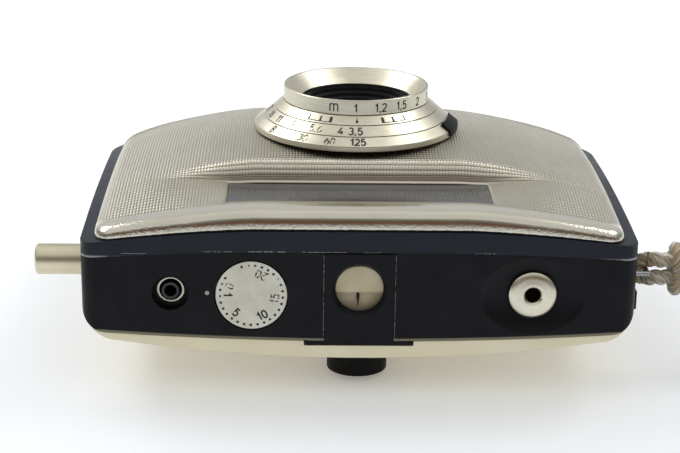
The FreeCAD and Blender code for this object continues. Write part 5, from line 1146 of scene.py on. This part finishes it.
def soften():
    for name, width in EDGES.items():
        modifiers = NODES[name].modifiers
        modifiers.new("weld", "WELD").merge_threshold = 0.001 * MM
        bevel = modifiers.new("edges", "BEVEL")
        bevel.width, bevel.segments = width * MM, 2
        bevel.limit_method, bevel.angle_limit = "ANGLE", radians(34)
        bevel.use_clamp_overlap = True
        modifiers.new("normals", "WEIGHTED_NORMAL").keep_sharp = True


# ---------------- small marks and springs

INSERT_HALF_WIDTH, WEAR_LIFT = 6.95, 0.016
INDEX_DOT, INDEX_RADIUS = (-29.5, 0.42), 0.42
# Start and end along x, height and width of each rubbed line along the seam.
SEAM_SCRATCHES = ((-30.5, -24.6, 8.88, 0.12), (-21.5, -13.8, 8.92, 0.2), (-11.5, -2.5, 8.88, 0.12),
                  (0.5, 4.0, 8.86, 0.09), (22.0, 27.5, 8.8, 0.09), (-46.0, -41.0, 8.4, 0.12))
SCRATCH_STEPS, SCRATCH_WAVE = 8, 0.04
MASK_RADIUS, MASK_EDGE, MASK_STEPS, MASK_DEPTH_SHARE, MASK_THICKNESS = 5.3, 0.1, 40, 0.35, 0.04


def on_top_plate(x, z, lift):
    """A place() on the top plate."""
    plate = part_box("body_shell")[0][1] / MM + SOCKET_DEPTH - lift
    return lambda u, v: at(x + u, plate, z + v)


def add_index_dot():
    """The counter's index: a small pale dot set into the top plate."""
    marks = Print()
    marks.dot(INDEX_RADIUS, on_top_plate(*INDEX_DOT, PAINT_LIFT), 16)
    pale = paint_finish("index_paint", (0.35, 0.35, 0.36), 0.0)
    marks.piece("counter_index", pale, "camera_body", "bright_steel")


def add_edge_wear():
    """Pale rubbed hairlines: round the meter insert and along the seam of the front frame."""
    marks = Print()
    place = on_top_plate(0, 0, WEAR_LIFT)
    for sign in (-1, 1):
        edge = sign * INSERT_HALF_WIDTH
        marks.stroke([(edge, -8.9), (edge, -3.0), (edge, 3.0), (edge, 8.2)], 0.09, place)
        marks.stroke([(edge, -9.1), (edge + 0.9 * sign, -9.15)], 0.16, place)
    for start, end, height, width in SEAM_SCRATCHES:
        line = [(start + (end - start) * k / SCRATCH_STEPS, height + SCRATCH_WAVE * sin(2.1 * k + start))
                for k in range(SCRATCH_STEPS + 1)]
        marks.stroke(line, width, place)
    pale = paint_finish("rubbed_edge", (0.20, 0.20, 0.21), 0.47)
    marks.piece("rubbed_hairlines", pale, "camera_body", "bright_steel")


def add_meter_mask(finish):
    """The upper half of the scale plate, which covers the needle's root."""
    front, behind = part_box("meter_glass")[1][1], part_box("meter_needle")[0][1]
    depth = (front + MASK_DEPTH_SHARE * (behind - front)) / MM + SOCKET_DEPTH
    points = [at(0, depth, MASK_EDGE)]
    for index in range(MASK_STEPS + 1):
        angle = pi * index / MASK_STEPS
        points.append(at(MASK_RADIUS * cos(angle), depth, MASK_EDGE + MASK_RADIUS * sin(angle)))
    faces = [(0, index, index + 1) for index in range(1, MASK_STEPS + 1)]
    mask = mesh_piece("needle_mask", points, faces, finish, "camera_body", smooth=False)
    thick = mask.modifiers.new("card", "SOLIDIFY")
    thick.thickness, thick.offset = MASK_THICKNESS * MM, 0.0


# Piece, the node it stands for, its joint, the axis its length is measured along, its fixed end and its body.
SPRINGS = (
    ("plunger_coil", "plunger_spring", "plunger_slide", 0, (-34.4, 0, 0), "camera_body"),
    ("release_coil", "release_spring", "release_press", 1, (0, -27.6, 0), "camera_body"),
    ("pressure_leaves", "pressure_springs", "pressure_plate_slide", 2, (0, 0, -12.12), "back_cover"),
)


def add_springs():
    """Copies of the springs, put on their bodies in place of their nodes."""
    for name, node, joint, axis, anchor, body in SPRINGS:
        spring = put(name, NODES[node].data.copy())
        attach(spring, body)
        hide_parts(node)
        fixed = at(*anchor)
        length = max(abs(corner[axis] - fixed[axis]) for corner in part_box(node))
        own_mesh(spring)


add_camera()
add_floor()
add_world()
add_lamp("left_box", (-0.61, 0.34, 0.72), (0.55, 0.26), 2.5)
add_lamp("right_box", (0.56, 0.21, 0.80), (0.34, 0.26), 1.3)
add_strap()
add_finishes()
add_panel()
add_rings(NODES["focus_ring"].data.materials[0])
black_paint = paint_finish("black_paint", (0.012, 0.012, 0.012), 0.0)
worn_paint = paint_finish("worn_paint", (0.05, 0.048, 0.04), 0.5)
add_ring_numbers(black_paint, worn_paint)
add_scale_marks(black_paint)
add_counter_marks(black_paint, worn_paint)
add_index_dot()
add_edge_wear()
add_meter_mask(NODES["needle_card"].data.materials[0])
add_springs()
